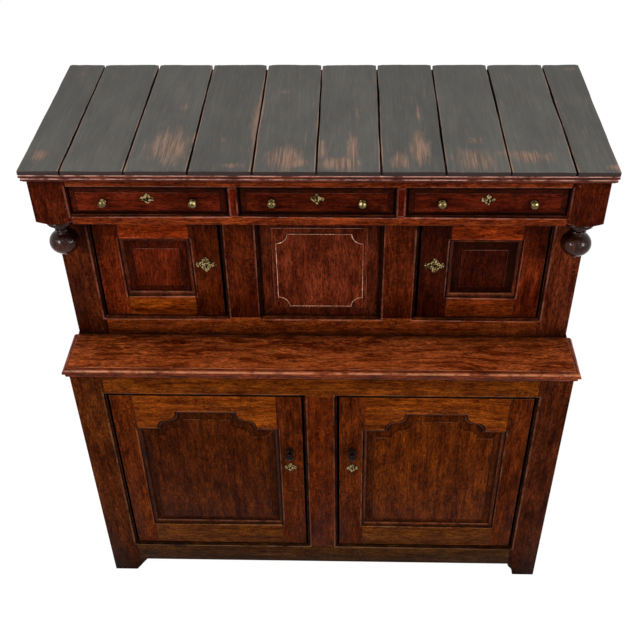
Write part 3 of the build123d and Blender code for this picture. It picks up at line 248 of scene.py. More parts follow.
def dressed(node, material, stain="#5a2c12", along=None, arris=0.0012, slope_shade_and_dirt=0.9):
    """The CAD node's own solids with softened arrises. Every board has its own place in the log and its
    own stain, a colour or a rule that gives one from the board's low and high corners. Slanted faces are
    marked with how dark they are made, partly for dirt and old polish and partly as painted shade."""
    log = 9.0
    points, faces, worn, slanted, grain, stains = [], [], [], [], [], []
    for number, solid_faces in enumerate(separate_solids(node)):
        solid = softened_solid(solid_faces, arris)
        low, high = box_round([vertex.co for vertex in solid.verts])
        size = high - low
        first = axis_number[along] if along else max(range(3), key=lambda a: size[a])
        rest = sorted((a for a in range(3) if a != first), key=lambda a: -size[a])
        chance = random.Random(f"{node} {number}")
        shift = [chance.uniform(0, log) for _ in range(3)]
        colour = linear(stain(low, high) if callable(stain) else stain)
        for vertex in solid.verts:
            vertex.index = len(points)
            points.append(tuple(vertex.co))
            grain.extend(vertex.co[axis] + shift[i] for i, axis in enumerate([first] + rest))
            stains.extend(colour)
        for face in solid.faces:
            faces.append([v.index for v in face.verts])
            worn.append(rubbed_and_lit_by_mark[face.material_index])
            # slanted faces get their darkening: partly dirt and old polish, partly painted shade in the
            # recess
            slanted.append(slope_shade_and_dirt if is_slanted(face) and not face.material_index else 0.0)
        solid.free()
    mesh = bpy.data.meshes.new(f"{node}_dressed")
    mesh.from_pydata(points, [], faces)
    add_layer(mesh, "grain", "FLOAT_VECTOR", grain)
    add_layer(mesh, "stain", "FLOAT_COLOR", stains)
    add_layer(mesh, "arris", "FLOAT", worn, "FACE")
    add_layer(mesh, "slant", "FLOAT", slanted, "FACE")
    smoothed(mesh, sharp=24)
    mesh.materials.append(material)
    piece = set_out(f"{node}_dressed", mesh)
    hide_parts(node)
    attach(piece, body_of[node])
    return piece


def wood_pattern(tree, place, stretch, detail, **inputs):
    """A random pattern with so many cells to the metre along the grain, across it and through the board."""
    at = add_node(tree, "VectorMath", {0: place, 1: stretch}, operation="MULTIPLY")
    return add_node(tree, "TexNoise", {"Vector": at, "Scale": 1.0, "Detail": detail, **inputs})


eased = {"interpolation_type": "SMOOTHSTEP"}


def old_oak(name, grime_and_shade="#080302", worn="#96603e", polish=0.34, streak=7.0, flame=0.02, flecks=0.5,
            arris_wear_and_highlight=0.6, nook_dirt_and_shade=0.95, ground=0.0, shine=0.012, cloud=0.55, contrast=1.2, crown=0.0, overhang_shade=0.3,
            fleck_size=(3.5, 9)):
    """Old oak under wax, in each board's own stain. Clouds of darker stain, bands and fibres follow the
    grain, with ray flecks across it. Corners and slanted faces are darkened, partly as dirt and partly as
    painted shade, and wood under an overhang as painted shade; the arrises are pale, partly rubbed by
    hands and partly as painted highlights. streak is the width in mm of a band, flame how far in metres
    the bands wander, flecks and wear how strong the ray flecks and the pale arrises are, cloud and
    contrast how uneven the figure, soot how dark the corners are made, for dirt and painted shade, ground
    how dark the foot is made, crown how bright the top of a rounded moulding is painted, as a painted
    highlight, smoke the share of its colour that wood under an overhang keeps, as painted shade, and
    fleck_size the millimetres of a ray fleck along and across the grain."""
    material, tree = new_finish(name)
    grain, stain, arris, slant = [add_node(tree, "Attribute", attribute_name=layer)
                                  for layer in ("grain", "stain", "arris", "slant")]
    grain, stain = grain.outputs["Vector"], stain.outputs["Color"]
    place = add_node(tree, "TexCoord").outputs["Object"]

    # the bands wander, about one swing in 300 mm of length
    swing = wood_pattern(tree, grain, (3.2, 11, 11), 2.0)
    swung = add_node(tree, "VectorMath", {0: swing.outputs["Color"], 1: (0, flame, flame), 2: grain},
                     operation="MULTIPLY_ADD")
    across = 1000 / streak / 2
    bands = wood_pattern(tree, swung, (6, across, across), 6.0, Roughness=0.7)
    clouds = wood_pattern(tree, grain, (11, 26, 26), 5.0, Roughness=0.66)
    figure = add_node(tree, "Math", {0: clouds, 1: cloud, 2: bands}, operation="MULTIPLY_ADD")
    middle, spread = 0.5 + 0.5 * cloud, 0.2 / contrast
    figure = add_node(tree, "MapRange", {0: figure, 1: middle - spread, 2: middle + spread})
    # fibres 3 mm wide and 26 mm long, and dark pores 2 mm by 11 mm: coarser than real ones, so that they show
    fibres = wood_pattern(tree, swung, (38, 330, 330), 3.0)
    pores = wood_pattern(tree, swung, (90, 520, 520), 1.0)
    pore = add_node(tree, "MapRange", {0: pores, 1: 0.5, 2: 0.36}, **eased)
    # pale ray flecks in patches; a fleck fills four fifths of a cell of its pattern
    fleck_along, fleck_across = (800 / size for size in fleck_size)
    fleck = wood_pattern(tree, swung, (fleck_along, fleck_across, fleck_across), 2.0, Distortion=0.8)
    fleck = add_node(tree, "MapRange", {0: fleck, 1: 0.5, 2: 0.66}, **eased)
    patch = wood_pattern(tree, grain, (7, 12, 12), 3.0)
    patch = add_node(tree, "MapRange", {0: patch, 1: 0.42, 2: 0.62, 4: flecks}, **eased)
    fleck = add_node(tree, "Math", {0: fleck, 1: patch}, operation="MULTIPLY")

    # colour: the stain sinks darker and redder into soft wood, and is golden on hard wood and pale on rays
    soft, hard, ray = [add_node(tree, "VectorMath", {0: stain, 1: tint}, operation="MULTIPLY")
                       for tint in ((0.5, 0.34, 0.25), (1.5, 1.62, 1.5), (2.3, 2.7, 2.4))]
    colour = add_node(tree, "Mix", {0: figure, 6: soft, 7: hard}, data_type="RGBA")
    colour = add_node(tree, "Mix", {0: fleck, 6: colour, 7: ray}, data_type="RGBA")
    uneven = 0.42 * cloud
    broad = add_node(tree, "MapRange", {0: clouds, 1: 0.34, 2: 0.66, 3: 1 - uneven, 4: 1 + uneven})
    fine = add_node(tree, "MapRange", {0: fibres, 1: 0.34, 2: 0.66, 3: 0.56, 4: 1.52})
    level = add_node(tree, "Math", {0: broad, 1: fine}, operation="MULTIPLY")
    pore_dark = add_node(tree, "MapRange", {0: pore, 3: 1.0, 4: 0.4})
    level = add_node(tree, "Math", {0: level, 1: pore_dark}, operation="MULTIPLY")
    colour = add_node(tree, "VectorMath", {0: colour, "Scale": level}, operation="SCALE")

    # painted shade: the wood is darkened wherever something overhangs it within 180 mm, as the shadow it
    # casts
    overhang_occlusion = add_node(tree, "AmbientOcclusion", {"Distance": 0.18}, samples=6)
    overhang_shaded = add_node(tree, "MapRange", {0: overhang_occlusion.outputs["AO"], 1: 0.45, 2: 0.95, 3: overhang_shade}, **eased)
    colour = add_node(tree, "VectorMath", {0: colour, "Scale": overhang_shaded}, operation="SCALE")

    # corners within 30 mm and slanted faces are darkened, partly as dirt and old polish and partly as
    # painted shade; the wood is also darker up to 300 mm from the floor
    nook = add_node(tree, "AmbientOcclusion", {"Distance": 0.03}, samples=6)
    dirt = add_node(tree, "MapRange", {0: nook.outputs["AO"], 1: 0.9, 2: 0.42, 4: nook_dirt_and_shade}, **eased)
    dirt = add_node(tree, "Math", {0: dirt, 1: slant.outputs["Fac"]}, operation="ADD")
    height = add_node(tree, "SeparateXYZ", {0: place}).outputs["Z"]
    low_down = add_node(tree, "MapRange", {0: height, 1: 0.3, 2: 0.0, 4: ground}, **eased)
    dirt = add_node(tree, "Math", {0: dirt, 1: low_down}, operation="MAXIMUM")
    smears = wood_pattern(tree, place, (38, 38, 38), 3.0)
    smeared = add_node(tree, "MapRange", {0: smears, 1: 0.3, 2: 0.62, 3: 0.7})
    dirt = add_node(tree, "Math", {0: dirt, 1: smeared}, operation="MULTIPLY", use_clamp=True)
    colour = add_node(tree, "Mix", {0: dirt, 6: colour, 7: linear(grime_and_shade)}, data_type="RGBA")

    # arrises pale in runs some 40 mm long, partly rubbed and partly a painted highlight, and a rounded
    # moulding painted bright near its crown, as a painted highlight
    rubbed = wood_pattern(tree, place, (24, 24, 24), 4.0, Roughness=0.65)
    rubbed = add_node(tree, "MapRange", {0: rubbed, 1: 0.36, 2: 0.6, 3: 0.1 * arris_wear_and_highlight, 4: arris_wear_and_highlight}, **eased)
    facing = add_node(tree, "NewGeometry")
    upward = add_node(tree, "SeparateXYZ", {0: facing.outputs["Normal"]}).outputs["Z"]
    crown_rise = 0.62
    off_crown = add_node(tree, "Math", {0: upward, 1: crown_rise}, operation="SUBTRACT")
    off_crown = add_node(tree, "Math", {0: off_crown}, operation="ABSOLUTE")
    crown_highlight = add_node(tree, "MapRange", {0: off_crown, 1: 0.3, 2: 0.08, 4: crown}, **eased)
    # painted highlight: arrises that look up are made paler than those that look sideways, as if lit from
    # above
    arris_lit_from_above = add_node(tree, "MapRange", {0: upward, 1: 0.05, 2: 0.6, 3: 0.4})
    bare = add_node(tree, "Math", {0: arris.outputs["Fac"], 1: arris_lit_from_above}, operation="MULTIPLY")
    bare = add_node(tree, "Math", {0: bare, 1: crown_highlight}, operation="MAXIMUM")
    bare = add_node(tree, "Math", {0: bare, 1: rubbed}, operation="MULTIPLY")
    colour = add_node(tree, "Mix", {0: bare, 6: colour, 7: linear(worn)}, data_type="RGBA")

    # the wax is duller in dirt, and burnished where hands rub
    rough = add_node(tree, "MapRange", {0: smears, 1: 0.3, 2: 0.7, 3: polish - 0.06, 4: polish + 0.08})
    rough = add_node(tree, "Math", {0: dirt, 1: 0.2, 2: rough}, operation="MULTIPLY_ADD")
    gleam = add_node(tree, "MapRange", {0: bare, 3: shine, 4: max(shine, 0.25)})
    relief = add_node(tree, "Math", {0: pore, 1: -0.6, 2: fibres}, operation="MULTIPLY_ADD")
    bump = add_node(tree, "Bump", {"Strength": 0.4, "Distance": 0.0004, "Height": relief})
    surface = add_node(tree, "BsdfPrincipled", {"Base Color": colour, "Roughness": rough, "Normal": bump,
                                                "Specular IOR Level": gleam})
    add_node(tree, "OutputMaterial", {"Surface": surface})
    return material


def by_side(left, right):
    """A rule with one stain for the pieces left of the middle, and one for the others."""
    return lambda low, high: left if high.x < 0 else right


def by_height(level, above, below):
    """A rule with one stain for the pieces whose foot is above a level, and one for the others."""
    return lambda low, high: above if low.z > level else below


# waxed oak: brown in the light, black in its corners from dirt and painted shade, and pale along its
# arrises, partly rubbed and partly painted highlights
lower_oak = old_oak("waxed_oak_lower_stage", worn="#8e6242", ground=0.3)
dressed("lower_front_posts", lower_oak, by_side("#431b05", "#3c1606"))
dressed("lower_back_posts", lower_oak, "#4a2410")
dressed("lower_muntin", lower_oak, "#481803")
dressed("lower_front_rails", lower_oak, by_height(lower_middle, "#592705", "#442409"))


# ------------------------------ sides
# Rails tenoned into the posts at each side, with a panel of thinner oak held loose in their grooves.
# Same polish as the front, less handled, and redder above the ledge.

ledge_level = 0.88      # a piece whose foot is above this belongs to the upper stage
dressed("side_rails", lower_oak, by_height(ledge_level, "#55250e", "#55290f"))
dressed("side_panels", lower_oak, by_height(ledge_level, "#4f1e0b", "#4b220c"), along="Z",
        slope_shade_and_dirt=0.4)


# ------------------------------ floor boards and foot bracket
# Three unpolished boards carry the floor of the lower cupboard on the bottom rail. A small bracket
# carries the slope of the left foot on to the rail.

def dry_stain(low, high):
    """Unpolished boards from several planks, each a little paler or greyer than the next."""
    return ("#6f5439", "#66503a", "#77593a", "#6a4c31")[round((low.x + high.x) * 20 + low.z) % 4]


# oak that was never waxed: dry, pale brown and matt
inner_oak = old_oak("dry_oak_inside", grime_and_shade="#2a1c12", worn="#a08564", polish=0.7, streak=12.0, flame=0.015,
                    flecks=0.1, arris_wear_and_highlight=0.25, cloud=0.3, contrast=0.75)
dressed("floor_boards", inner_oak, dry_stain)
dressed("foot_bracket", lower_oak, "#38200e")


# ------------------------------ ledge
# Three boards laid side by side on the lower case, with a moulded strip mitred round the front and the
# ends. Flat-sawn oak, the most handled part, so its figure shows brightest.

# waxed and burnished by use, with golden flames 60 mm long; its moulded edge is painted pale on the
# crown, as a painted highlight
ledge_oak = old_oak("waxed_oak_ledge", grime_and_shade="#150804", worn="#b5785a", polish=0.28, flame=0.08,
                    flecks=0.85, arris_wear_and_highlight=0.9, cloud=0.35, contrast=2.4, overhang_shade=0.55, fleck_size=(60, 7))
dressed("shelf_boards", ledge_oak, "#692d12")
nosing_oak = old_oak("handled_oak_nosing", grime_and_shade="#150804", worn="#a06442", polish=0.3, flecks=0.2, arris_wear_and_highlight=1.0,
                     shine=0.08, crown=0.9)
dressed("shelf_moulding", nosing_oak, "#5e240c", slope_shade_and_dirt=0.0)


# ------------------------------ upper case, front and back frames
# Posts, rails and two broad muntins of the recessed stage, pegged as the lower ones are. It has had more
# red polish and less light, so it is redder than the stage below.

# waxed oak again, with a redder dirt and painted shade, and pinker pale arrises, rubbed and painted as
# highlights
upper_oak = old_oak("waxed_oak_upper_stage", grime_and_shade="#0a0402", worn="#a86c5a")
dressed("upper_front_posts", upper_oak, by_side("#3e1607", "#51200f"))
dressed("upper_back_posts", upper_oak, "#4f1e0b")
upper_middle = 1.2
dressed("upper_front_rails", upper_oak, by_height(upper_middle, "#681d09", "#702f10"))
dressed("upper_muntins", upper_oak, "#441606")


# ------------------------------ centre panel
# A fixed panel between the muntins, with a sloped margin and a low raised tablet whose corners are
# scooped out. The tablet is bare.

# the same oak with fewer flecks, its arrises pale, partly dusted down to the wood and partly painted
# highlights
panel_oak = old_oak("waxed_oak_tablet", grime_and_shade="#0c0402", worn="#cf9684", arris_wear_and_highlight=1.3, flecks=0.3)
dressed("centre_panel", panel_oak, "#541f0f", along="Z", arris=0.0009, slope_shade_and_dirt=0.33)


def with_grain(mesh, colour):
    """Grain that runs up and down a piece, and one stain for all of it."""
    add_layer(mesh, "grain", "FLOAT_VECTOR", [c for v in mesh.vertices for c in (v.co.z, v.co.x, v.co.y)])
    add_layer(mesh, "stain", "FLOAT_COLOR", linear(colour) * len(mesh.vertices))


def panel_moulding(name, middle, foot, front, outline, profile, colour, material):
    """A small moulding planted round a panel. outline gives the opening's points for an inset, and the
    profile is pairs of inset and depth behind the front."""
    rings = [[(middle + x, front + depth, foot + z) for x, z in outline(inset)] for inset, depth in profile]
    around = len(rings[0])
    faces = []
    for a in range(len(rings)):
        b = (a + 1) % len(rings)
        for i in range(around):
            j = (i + 1) % around
            faces.append((a * around + i, a * around + j, b * around + j, b * around + i))
    mesh = bpy.data.meshes.new(name)
    mesh.from_pydata([point for ring in rings for point in ring], [], faces)
    shape = bmesh.new()
    shape.from_mesh(mesh)
    bmesh.ops.recalc_face_normals(shape, faces=shape.faces)
    shape.to_mesh(mesh)
    shape.free()
    smoothed(mesh, sharp=35)
    with_grain(mesh, colour)
    mesh.materials.append(material)
    return set_out(name, mesh)


def scooped_outline(inset):
    """The tablet's edge: a rectangle with a quarter circle scooped out of each corner."""
    side, top, scoop, steps = 0.114 - inset, 0.119 - inset, 0.03, 8
    corner = []
    for k in range(steps + 1):
        angle = math.radians(180 + 90 / steps * k)
        corner.append((side + scoop * math.cos(angle), top + scoop * math.sin(angle)))
    upper = corner[::-1] + [(-x, z) for x, z in corner]
    return upper + [(-x, -z) for x, z in upper]


# a painted highlight: a pale line 2 mm wide round the tablet's edge, where its arris catches the light
tablet_front, tablet_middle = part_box("centre_panel")[0].y, 1.129
thread = [(-0.0009, 0.0008), (-0.0005, -0.0004), (0.0003, -0.0007), (0.0011, -0.0004), (0.0014, 0.0004)]
highlight_oak = old_oak("painted_highlight_thread", grime_and_shade="#3a1a10", worn="#cf9684", flecks=0.0, nook_dirt_and_shade=0.3, shine=0.2)
edging = panel_moulding("tablet_edge_highlight", 0.0, tablet_middle, tablet_front, scooped_outline, thread, "#b07a68",
                        highlight_oak)
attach(edging, "case")


# ------------------------------ back
# Five rails between the back posts, and thin upright boards slipped into their grooves. Never polished.
# The boards are lapped, so no light shows between them.

dressed("back_rails", inner_oak, "#664a30")
back_boards = dressed("back_boards", inner_oak, dry_stain)
lap, hair, edge_reach, outermost = 0.0006, 0.0001, 0.002, 0.5
back_joints = {True: [], False: []}
for solid in separate_solids("back_boards"):
    low, high = box_round([corner for face in solid for corner in face])
    back_joints[low.z > ledge_level].append((low.x, high.x))
for vertex in back_boards.data.vertices:
    for left, right in back_joints[vertex.co.z > ledge_level]:
        if left - hair < vertex.co.x < left + edge_reach and left > -outermost:
            vertex.co.x -= lap
        elif right - edge_reach < vertex.co.x < right + hair and right < outermost:
            vertex.co.x += lap


# ------------------------------ frieze
# Two corner posts turned below into pendants, the drawer rails and short muntins between them, the
# boards that close it underneath, and the runners and guides that carry the drawers.

# the pendants were polished on the lathe: nearly black, with small sharp highlights
turned_oak = old_oak("french_polished_turned_oak", grime_and_shade="#060302", worn="#5a3020", polish=0.05, streak=12.0,
                     flecks=0.0, arris_wear_and_highlight=0.3, shine=0.17, cloud=0.7)
pendants = dressed("pendant_posts", upper_oak, "#350e04", slope_shade_and_dirt=0.2)
pendants.data.materials.append(turned_oak)
turning_top = 1.352
for polygon in pendants.data.polygons:
    if max(pendants.data.vertices[i].co.z for i in polygon.vertices) < turning_top:
        polygon.material_index = 1
for vertex, stain in zip(pendants.data.vertices, pendants.data.attributes["stain"].data):
    if vertex.co.z < turning_top:
        stain.color = linear("#30130a")


def frieze_stain(low, high):
    """The long rails are from a redder tree than the short muntins."""
    shortest_rail = 0.5
    return "#5e230c" if high.x - low.x > shortest_rail else "#440e03"


dressed("frieze_frame", upper_oak, frieze_stain)
for node in ("soffit_boards", "drawer_runners", "drawer_guides"):
    dressed(node, inner_oak, "#664a30")


# ------------------------------ cornice
# A strip of two reeds along the front, mitred to a strip at each side, and a plain one at the back. It
# is planed oak, glued and nailed under the top boards.

# polished oak with a soft gleam, painted pale along the crown of each reed as a painted highlight
cornice_oak = old_oak("polished_oak_cornice", grime_and_shade="#0c0403", worn="#c08c7c", polish=0.26, flecks=0.0,
                      arris_wear_and_highlight=1.0, nook_dirt_and_shade=0.7, shine=0.08, crown=0.8)
dressed("cornice_moulding", cornice_oak, "#481a0e", arris=0.0006, slope_shade_and_dirt=0.0)


# ------------------------------ top boards
# Ten thin oak boards laid from front to back over the frieze and nailed, under old grey-black paint.
# They have shrunk apart, so their edges wander, and the front third is rubbed back to brown wood.

def new_rule(name, seeds_name, sizes, result_name):
    """An empty tree of geometry nodes, and its inputs: one for its seeds and one for each named size."""
    tree = bpy.data.node_groups.new(name, "GeometryNodeTree")
    tree.interface.new_socket(seeds_name, in_out="INPUT", socket_type="NodeSocketGeometry")
    for size_name, value in sizes.items():
        kind = {int: "NodeSocketInt", float: "NodeSocketFloat"}.get(type(value), "NodeSocketMaterial")
        tree.interface.new_socket(size_name, in_out="INPUT", socket_type=kind)
    tree.interface.new_socket(result_name, in_out="OUTPUT", socket_type="NodeSocketGeometry")
    return tree, add_node(tree, "NodeGroupInput").outputs


def carried_out(name, seeds, tree, sizes, arris):
    """The plain mesh that a rule makes from its seeds, with its named sizes set, as one object."""
    made = set_out(f"{name}_rule", seeds)
    rule = made.modifiers.new("rule", "NODES")
    rule.node_group = tree
    for item in tree.interface.items_tree:
        if item.in_out == "INPUT" and item.name in sizes:
            rule[item.identifier] = sizes[item.name]
    soften = made.modifiers.new("arris", "BEVEL")
    soften.width, soften.segments, soften.limit_method = arris, 2, "ANGLE"
    soften.angle_limit = math.radians(50)
    seen_by = bpy.context.evaluated_depsgraph_get()
    mesh = bpy.data.meshes.new_from_object(made.evaluated_get(seen_by), depsgraph=seen_by)
    bpy.data.objects.remove(made)
    finish = next(material for material in mesh.materials if material)
    mesh.materials.clear()
    mesh.materials.append(finish)
    mesh.name = name
    return set_out(name, mesh)


# black paint over oak: matt and dark grey, rubbed through in ragged patches to grey-brown wood
top_paint, tree = new_finish("worn_black_paint")
grain, worn, edge, tone = [add_node(tree, "Attribute", attribute_name=layer)
                           for layer in ("grain", "rubbed", "edge", "tone")]
grain = grain.outputs["Vector"]
cloud = wood_pattern(tree, grain, (6, 15, 15), 6.0, Roughness=0.62)
lines = wood_pattern(tree, grain, (9, 240, 240), 4.0)
paint = add_node(tree, "MapRange", {0: cloud, 1: 0.3, 2: 0.7})
paint = add_node(tree, "Mix", {0: paint, 6: linear("#33322f"), 7: linear("#504e49")}, data_type="RGBA")
lined = add_node(tree, "MapRange", {0: lines, 1: 0.3, 2: 0.7, 3: 0.86, 4: 1.12})
board = add_node(tree, "MapRange", {0: tone.outputs["Fac"], 3: 0.9, 4: 1.14})
level = add_node(tree, "Math", {0: lined, 1: board}, operation="MULTIPLY")
paint = add_node(tree, "VectorMath", {0: paint, "Scale": level}, operation="SCALE")
wood = add_node(tree, "MapRange", {0: lines, 1: 0.34, 2: 0.66})
wood = add_node(tree, "Mix", {0: wood, 6: linear("#523f34"), 7: linear("#967560")}, data_type="RGBA")
ragged = wood_pattern(tree, grain, (15, 62, 62), 9.0, Roughness=0.8)
# the side edges of a board are rubbed over 8 mm, in runs
rim = add_node(tree, "MapRange", {0: edge.outputs["Fac"], 1: 0.008, 2: 0.0, 4: 0.75}, **eased)
rim_run = add_node(tree, "MapRange", {0: cloud, 1: 0.36, 2: 0.5})
rim = add_node(tree, "Math", {0: rim, 1: rim_run}, operation="MULTIPLY")
rubbed = add_node(tree, "Math", {0: worn.outputs["Fac"], 1: rim}, operation="ADD")
rubbed = add_node(tree, "Math", {0: rubbed, 1: ragged}, operation="ADD")
bare = add_node(tree, "MapRange", {0: rubbed, 1: 0.74, 2: 1.0, 4: 0.8})
# scratches at a slant to the boards, 1.5 mm by 60 mm: coarser than real ones, so that they show
scratch = add_node(tree, "Mapping", {"Vector": grain, "Rotation": (0, 0, 0.5), "Scale": (16, 700, 1)})
scratch = add_node(tree, "TexNoise", {"Vector": scratch, "Scale": 1.0, "Detail": 2.0})
scratch = add_node(tree, "MapRange", {0: scratch, 1: 0.6, 2: 0.7, 4: 0.3})
bare = add_node(tree, "Math", {0: bare, 1: scratch}, operation="MAXIMUM")
colour = add_node(tree, "Mix", {0: bare, 6: paint, 7: wood}, data_type="RGBA")
# the sawn edges all round were never painted, and the gaps between the boards are darkened, partly
# as dirt and partly as painted shade
facing = add_node(tree, "NewGeometry")
upward = add_node(tree, "SeparateXYZ", {0: facing.outputs["True Normal"]}).outputs["Z"]
sawn_edge = add_node(tree, "MapRange", {0: upward, 1: 0.75, 2: 0.5})
colour = add_node(tree, "Mix", {0: sawn_edge, 6: colour, 7: linear("#1c0b06")}, data_type="RGBA")
nook = add_node(tree, "AmbientOcclusion", {"Distance": 0.012}, samples=6)
gap = add_node(tree, "MapRange", {0: nook.outputs["AO"], 1: 0.45, 2: 0.8, 3: 0.9, 4: 0.0})
colour = add_node(tree, "Mix", {0: gap, 6: colour, 7: linear("#080605")}, data_type="RGBA")
rough = add_node(tree, "MapRange", {0: cloud, 1: 0.3, 2: 0.7, 3: 0.5, 4: 0.68})
relief = add_node(tree, "Math", {0: bare, 1: -0.6, 2: lines}, operation="MULTIPLY_ADD")
bump = add_node(tree, "Bump", {"Strength": 0.35, "Distance": 0.0005, "Height": relief})
surface = add_node(tree, "BsdfPrincipled", {"Base Color": colour, "Roughness": rough, "Normal": bump,
                                            "Specular IOR Level": 0.3})
add_node(tree, "OutputMaterial", {"Surface": surface})

top_low, top_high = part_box("top_boards")
board_step, joint_width = 0.1495, 0.0015
board_edges = [top_low.x] + [board_step * joint for joint in range(-4, 5)] + [top_high.x]
board_places = bpy.data.meshes.new("top_board_places")
board_places.from_pydata([((a + b) / 2, (top_low.y + top_high.y) / 2, (top_low.z + top_high.z) / 2)
                          for a, b in zip(board_edges, board_edges[1:])], [], [])
board_widths = [b - a - joint_width for a, b in zip(board_edges, board_edges[1:])]
add_layer(board_places, "board_width", "FLOAT", board_widths)

board_sizes = {"Board Length": top_high.y - top_low.y, "Board Thickness": top_high.z - top_low.z,
               "Edge Wander": 0.0026, "End Wander": 0.0035, "Surface Dip": 0.0012, "Seed": 4,
               "Paint": top_paint}
tree, given = new_rule("shrunk_top_boards", "Places", board_sizes, "Boards")
width = add_node(tree, "GeometryNodeInputNamedAttribute", {"Name": "board_width"}, data_type="FLOAT")
index = add_node(tree, "GeometryNodeInputIndex")
numbered = add_node(tree, "GeometryNodeStoreNamedAttribute",
                    {"Geometry": given["Places"], "Name": "board_number", "Value": index},
                    data_type="FLOAT", domain="POINT")
block = add_node(tree, "CombineXYZ", {0: 1.0, 1: given["Board Length"], 2: given["Board Thickness"]})
block = add_node(tree, "GeometryNodeMeshCube", {"Size": block, "Vertices X": 13, "Vertices Y": 70,
                                                "Vertices Z": 2})
local = add_node(tree, "GeometryNodeInputPosition")
marked = add_node(tree, "GeometryNodeStoreNamedAttribute",
                  {"Geometry": block, "Name": "board_place", "Value": local},
                  data_type="FLOAT_VECTOR", domain="POINT")
stretch = add_node(tree, "CombineXYZ", {0: width, 1: 1.0, 2: 1.0})
laid = add_node(tree, "GeometryNodeInstanceOnPoints",
                {"Points": numbered, "Scale": stretch, "Instance": marked})
real = add_node(tree, "GeometryNodeRealizeInstances", {"Geometry": laid})
number = add_node(tree, "GeometryNodeInputNamedAttribute", {"Name": "board_number"}, data_type="FLOAT")
place = add_node(tree, "GeometryNodeInputNamedAttribute", {"Name": "board_place"}, data_type="FLOAT_VECTOR")
across, along, up = add_node(tree, "SeparateXYZ", {0: place}).outputs
# each side edge is planed off by a noise of its own, so the joints open and close along their length
lot = add_node(tree, "Math", {0: number, 1: given["Seed"]}, operation="ADD")
lot = add_node(tree, "Math", {0: lot, 1: 3.71}, operation="MULTIPLY")
side = add_node(tree, "Math", {0: across, 1: 1.7, 2: lot}, operation="MULTIPLY_ADD")
along_edge = add_node(tree, "CombineXYZ", {0: side, 1: along})
planed = add_node(tree, "TexNoise", {"Vector": along_edge, "Scale": 5.0, "Detail": 3.0})
planed = add_node(tree, "MapRange", {0: planed, 1: 0.28, 2: 0.7, 4: given["Edge Wander"]})
inward = add_node(tree, "Math", {0: across, 1: -2.0}, operation="MULTIPLY")
shift_x = add_node(tree, "Math", {0: inward, 1: planed}, operation="MULTIPLY")
# the back ends were sawn by eye and their corners are knocked off
sawn = add_node(tree, "CombineXYZ", {0: lot, 1: across})
sawn = add_node(tree, "TexNoise", {"Vector": sawn, "Scale": 1.3, "Detail": 2.0})
sawn = add_node(tree, "MapRange", {0: sawn, 1: 0.3, 2: 0.7, 4: given["End Wander"]})
corner = add_node(tree, "Math", {0: across}, operation="ABSOLUTE")
corner = add_node(tree, "MapRange", {0: corner, 1: 0.42, 2: 0.5, 4: given["End Wander"]})
sawn = add_node(tree, "Math", {0: sawn, 1: corner}, operation="ADD")
back = add_node(tree, "Math", {0: along, 1: given["Board Length"]}, operation="DIVIDE")
back = add_node(tree, "MapRange", {0: back, 1: 0.46, 2: 0.5, 4: -1.0})
shift_y = add_node(tree, "Math", {0: back, 1: sawn}, operation="MULTIPLY")
# the upper face has worn into shallow hollows
dip = add_node(tree, "TexNoise", {"Vector": along_edge, "Scale": 2.2, "Detail": 2.0})
dip = add_node(tree, "MapRange", {0: dip, 1: 0.3, 2: 0.7, 4: given["Surface Dip"]})
upper_face = add_node(tree, "Math", {0: up, 1: 0.0}, operation="GREATER_THAN")
shift_z = add_node(tree, "Math", {0: upper_face, 1: dip}, operation="MULTIPLY")
shift_z = add_node(tree, "Math", {0: shift_z, 1: -1.0}, operation="MULTIPLY")
shift = add_node(tree, "CombineXYZ", {0: shift_x, 1: shift_y, 2: shift_z})
moved = add_node(tree, "GeometryNodeSetPosition", {"Geometry": real, "Offset": shift})
painted = add_node(tree, "GeometryNodeSetMaterial", {"Geometry": moved, "Material": given["Paint"]})
add_node(tree, "NodeGroupOutput", {0: painted})
top_boards = carried_out("painted_top_boards", board_places, tree, board_sizes, arris=0.0013)

# where the paint is rubbed through: place, and reach across and along the board, in mm, and how far
rubbed_spots = ((-660, -184, 16, 28, 0.42), (-657, 243, 10, 37, 0.36), (-645, 283, 10, 13, 0.35),
                (-346, 55, 16, 27, 0.42), (-356, -140, 46, 79, 0.46), (-233, -111, 24, 29, 0.32),
                (-155, -20, 12, 163, 0.45), (-89, 142, 18, 17, 0.4), (-78, -195, 34, 47, 0.5),
                (-48, -223, 24, 20, 0.44), (-202, -232, 24, 14, 0.36), (12, -158, 12, 50, 0.45),
                (85, -139, 12, 58, 0.52), (54, -222, 32, 27, 0.5), (95, 11, 12, 53, 0.36),
                (245, -138, 20, 78, 0.5), (195, -203, 22, 37, 0.42), (252, 22, 6, 65, 0.5),
                (380, -114, 18, 19, 0.4), (362, -203, 40, 56, 0.36), (499, -188, 40, 26, 0.48),
                (435, -175, 12, 14, 0.4), (665, 272, 20, 12, 0.4), (685, -237, 14, 13, 0.4))
fade_across, fade_along = 1.5, 1.3
front_reach, front_wear = 0.16, 0.1
log_shift, tone_step = (1.37, 0.61), 0.37
mesh = top_boards.data
numbers = [round(number.value) for number in mesh.attributes["board_number"].data]
grain, rubbed, edge, tone = [], [], [], []
for vertex, board in zip(mesh.vertices, numbers):
    x, y, z = vertex.co
    grain += [y + log_shift[0] * board, x + log_shift[1] * board, z]
    left, right = board_edges[board], board_edges[board + 1]
    edge.append(min(x - left, right - x))
    tone.append((board * tone_step) % 1.0)
    spot = max(deep * math.exp(-((x - at_x / 1000) / (fade_across * wide / 1000)) ** 2
                               - ((y - at_y / 1000) / (fade_along * far / 1000)) ** 2)
               for at_x, at_y, wide, far, deep in rubbed_spots)
    front = max(0.0, 1 - (y - top_low.y) / front_reach)
    rubbed.append(spot + front_wear * front)
add_layer(mesh, "grain", "FLOAT_VECTOR", grain)
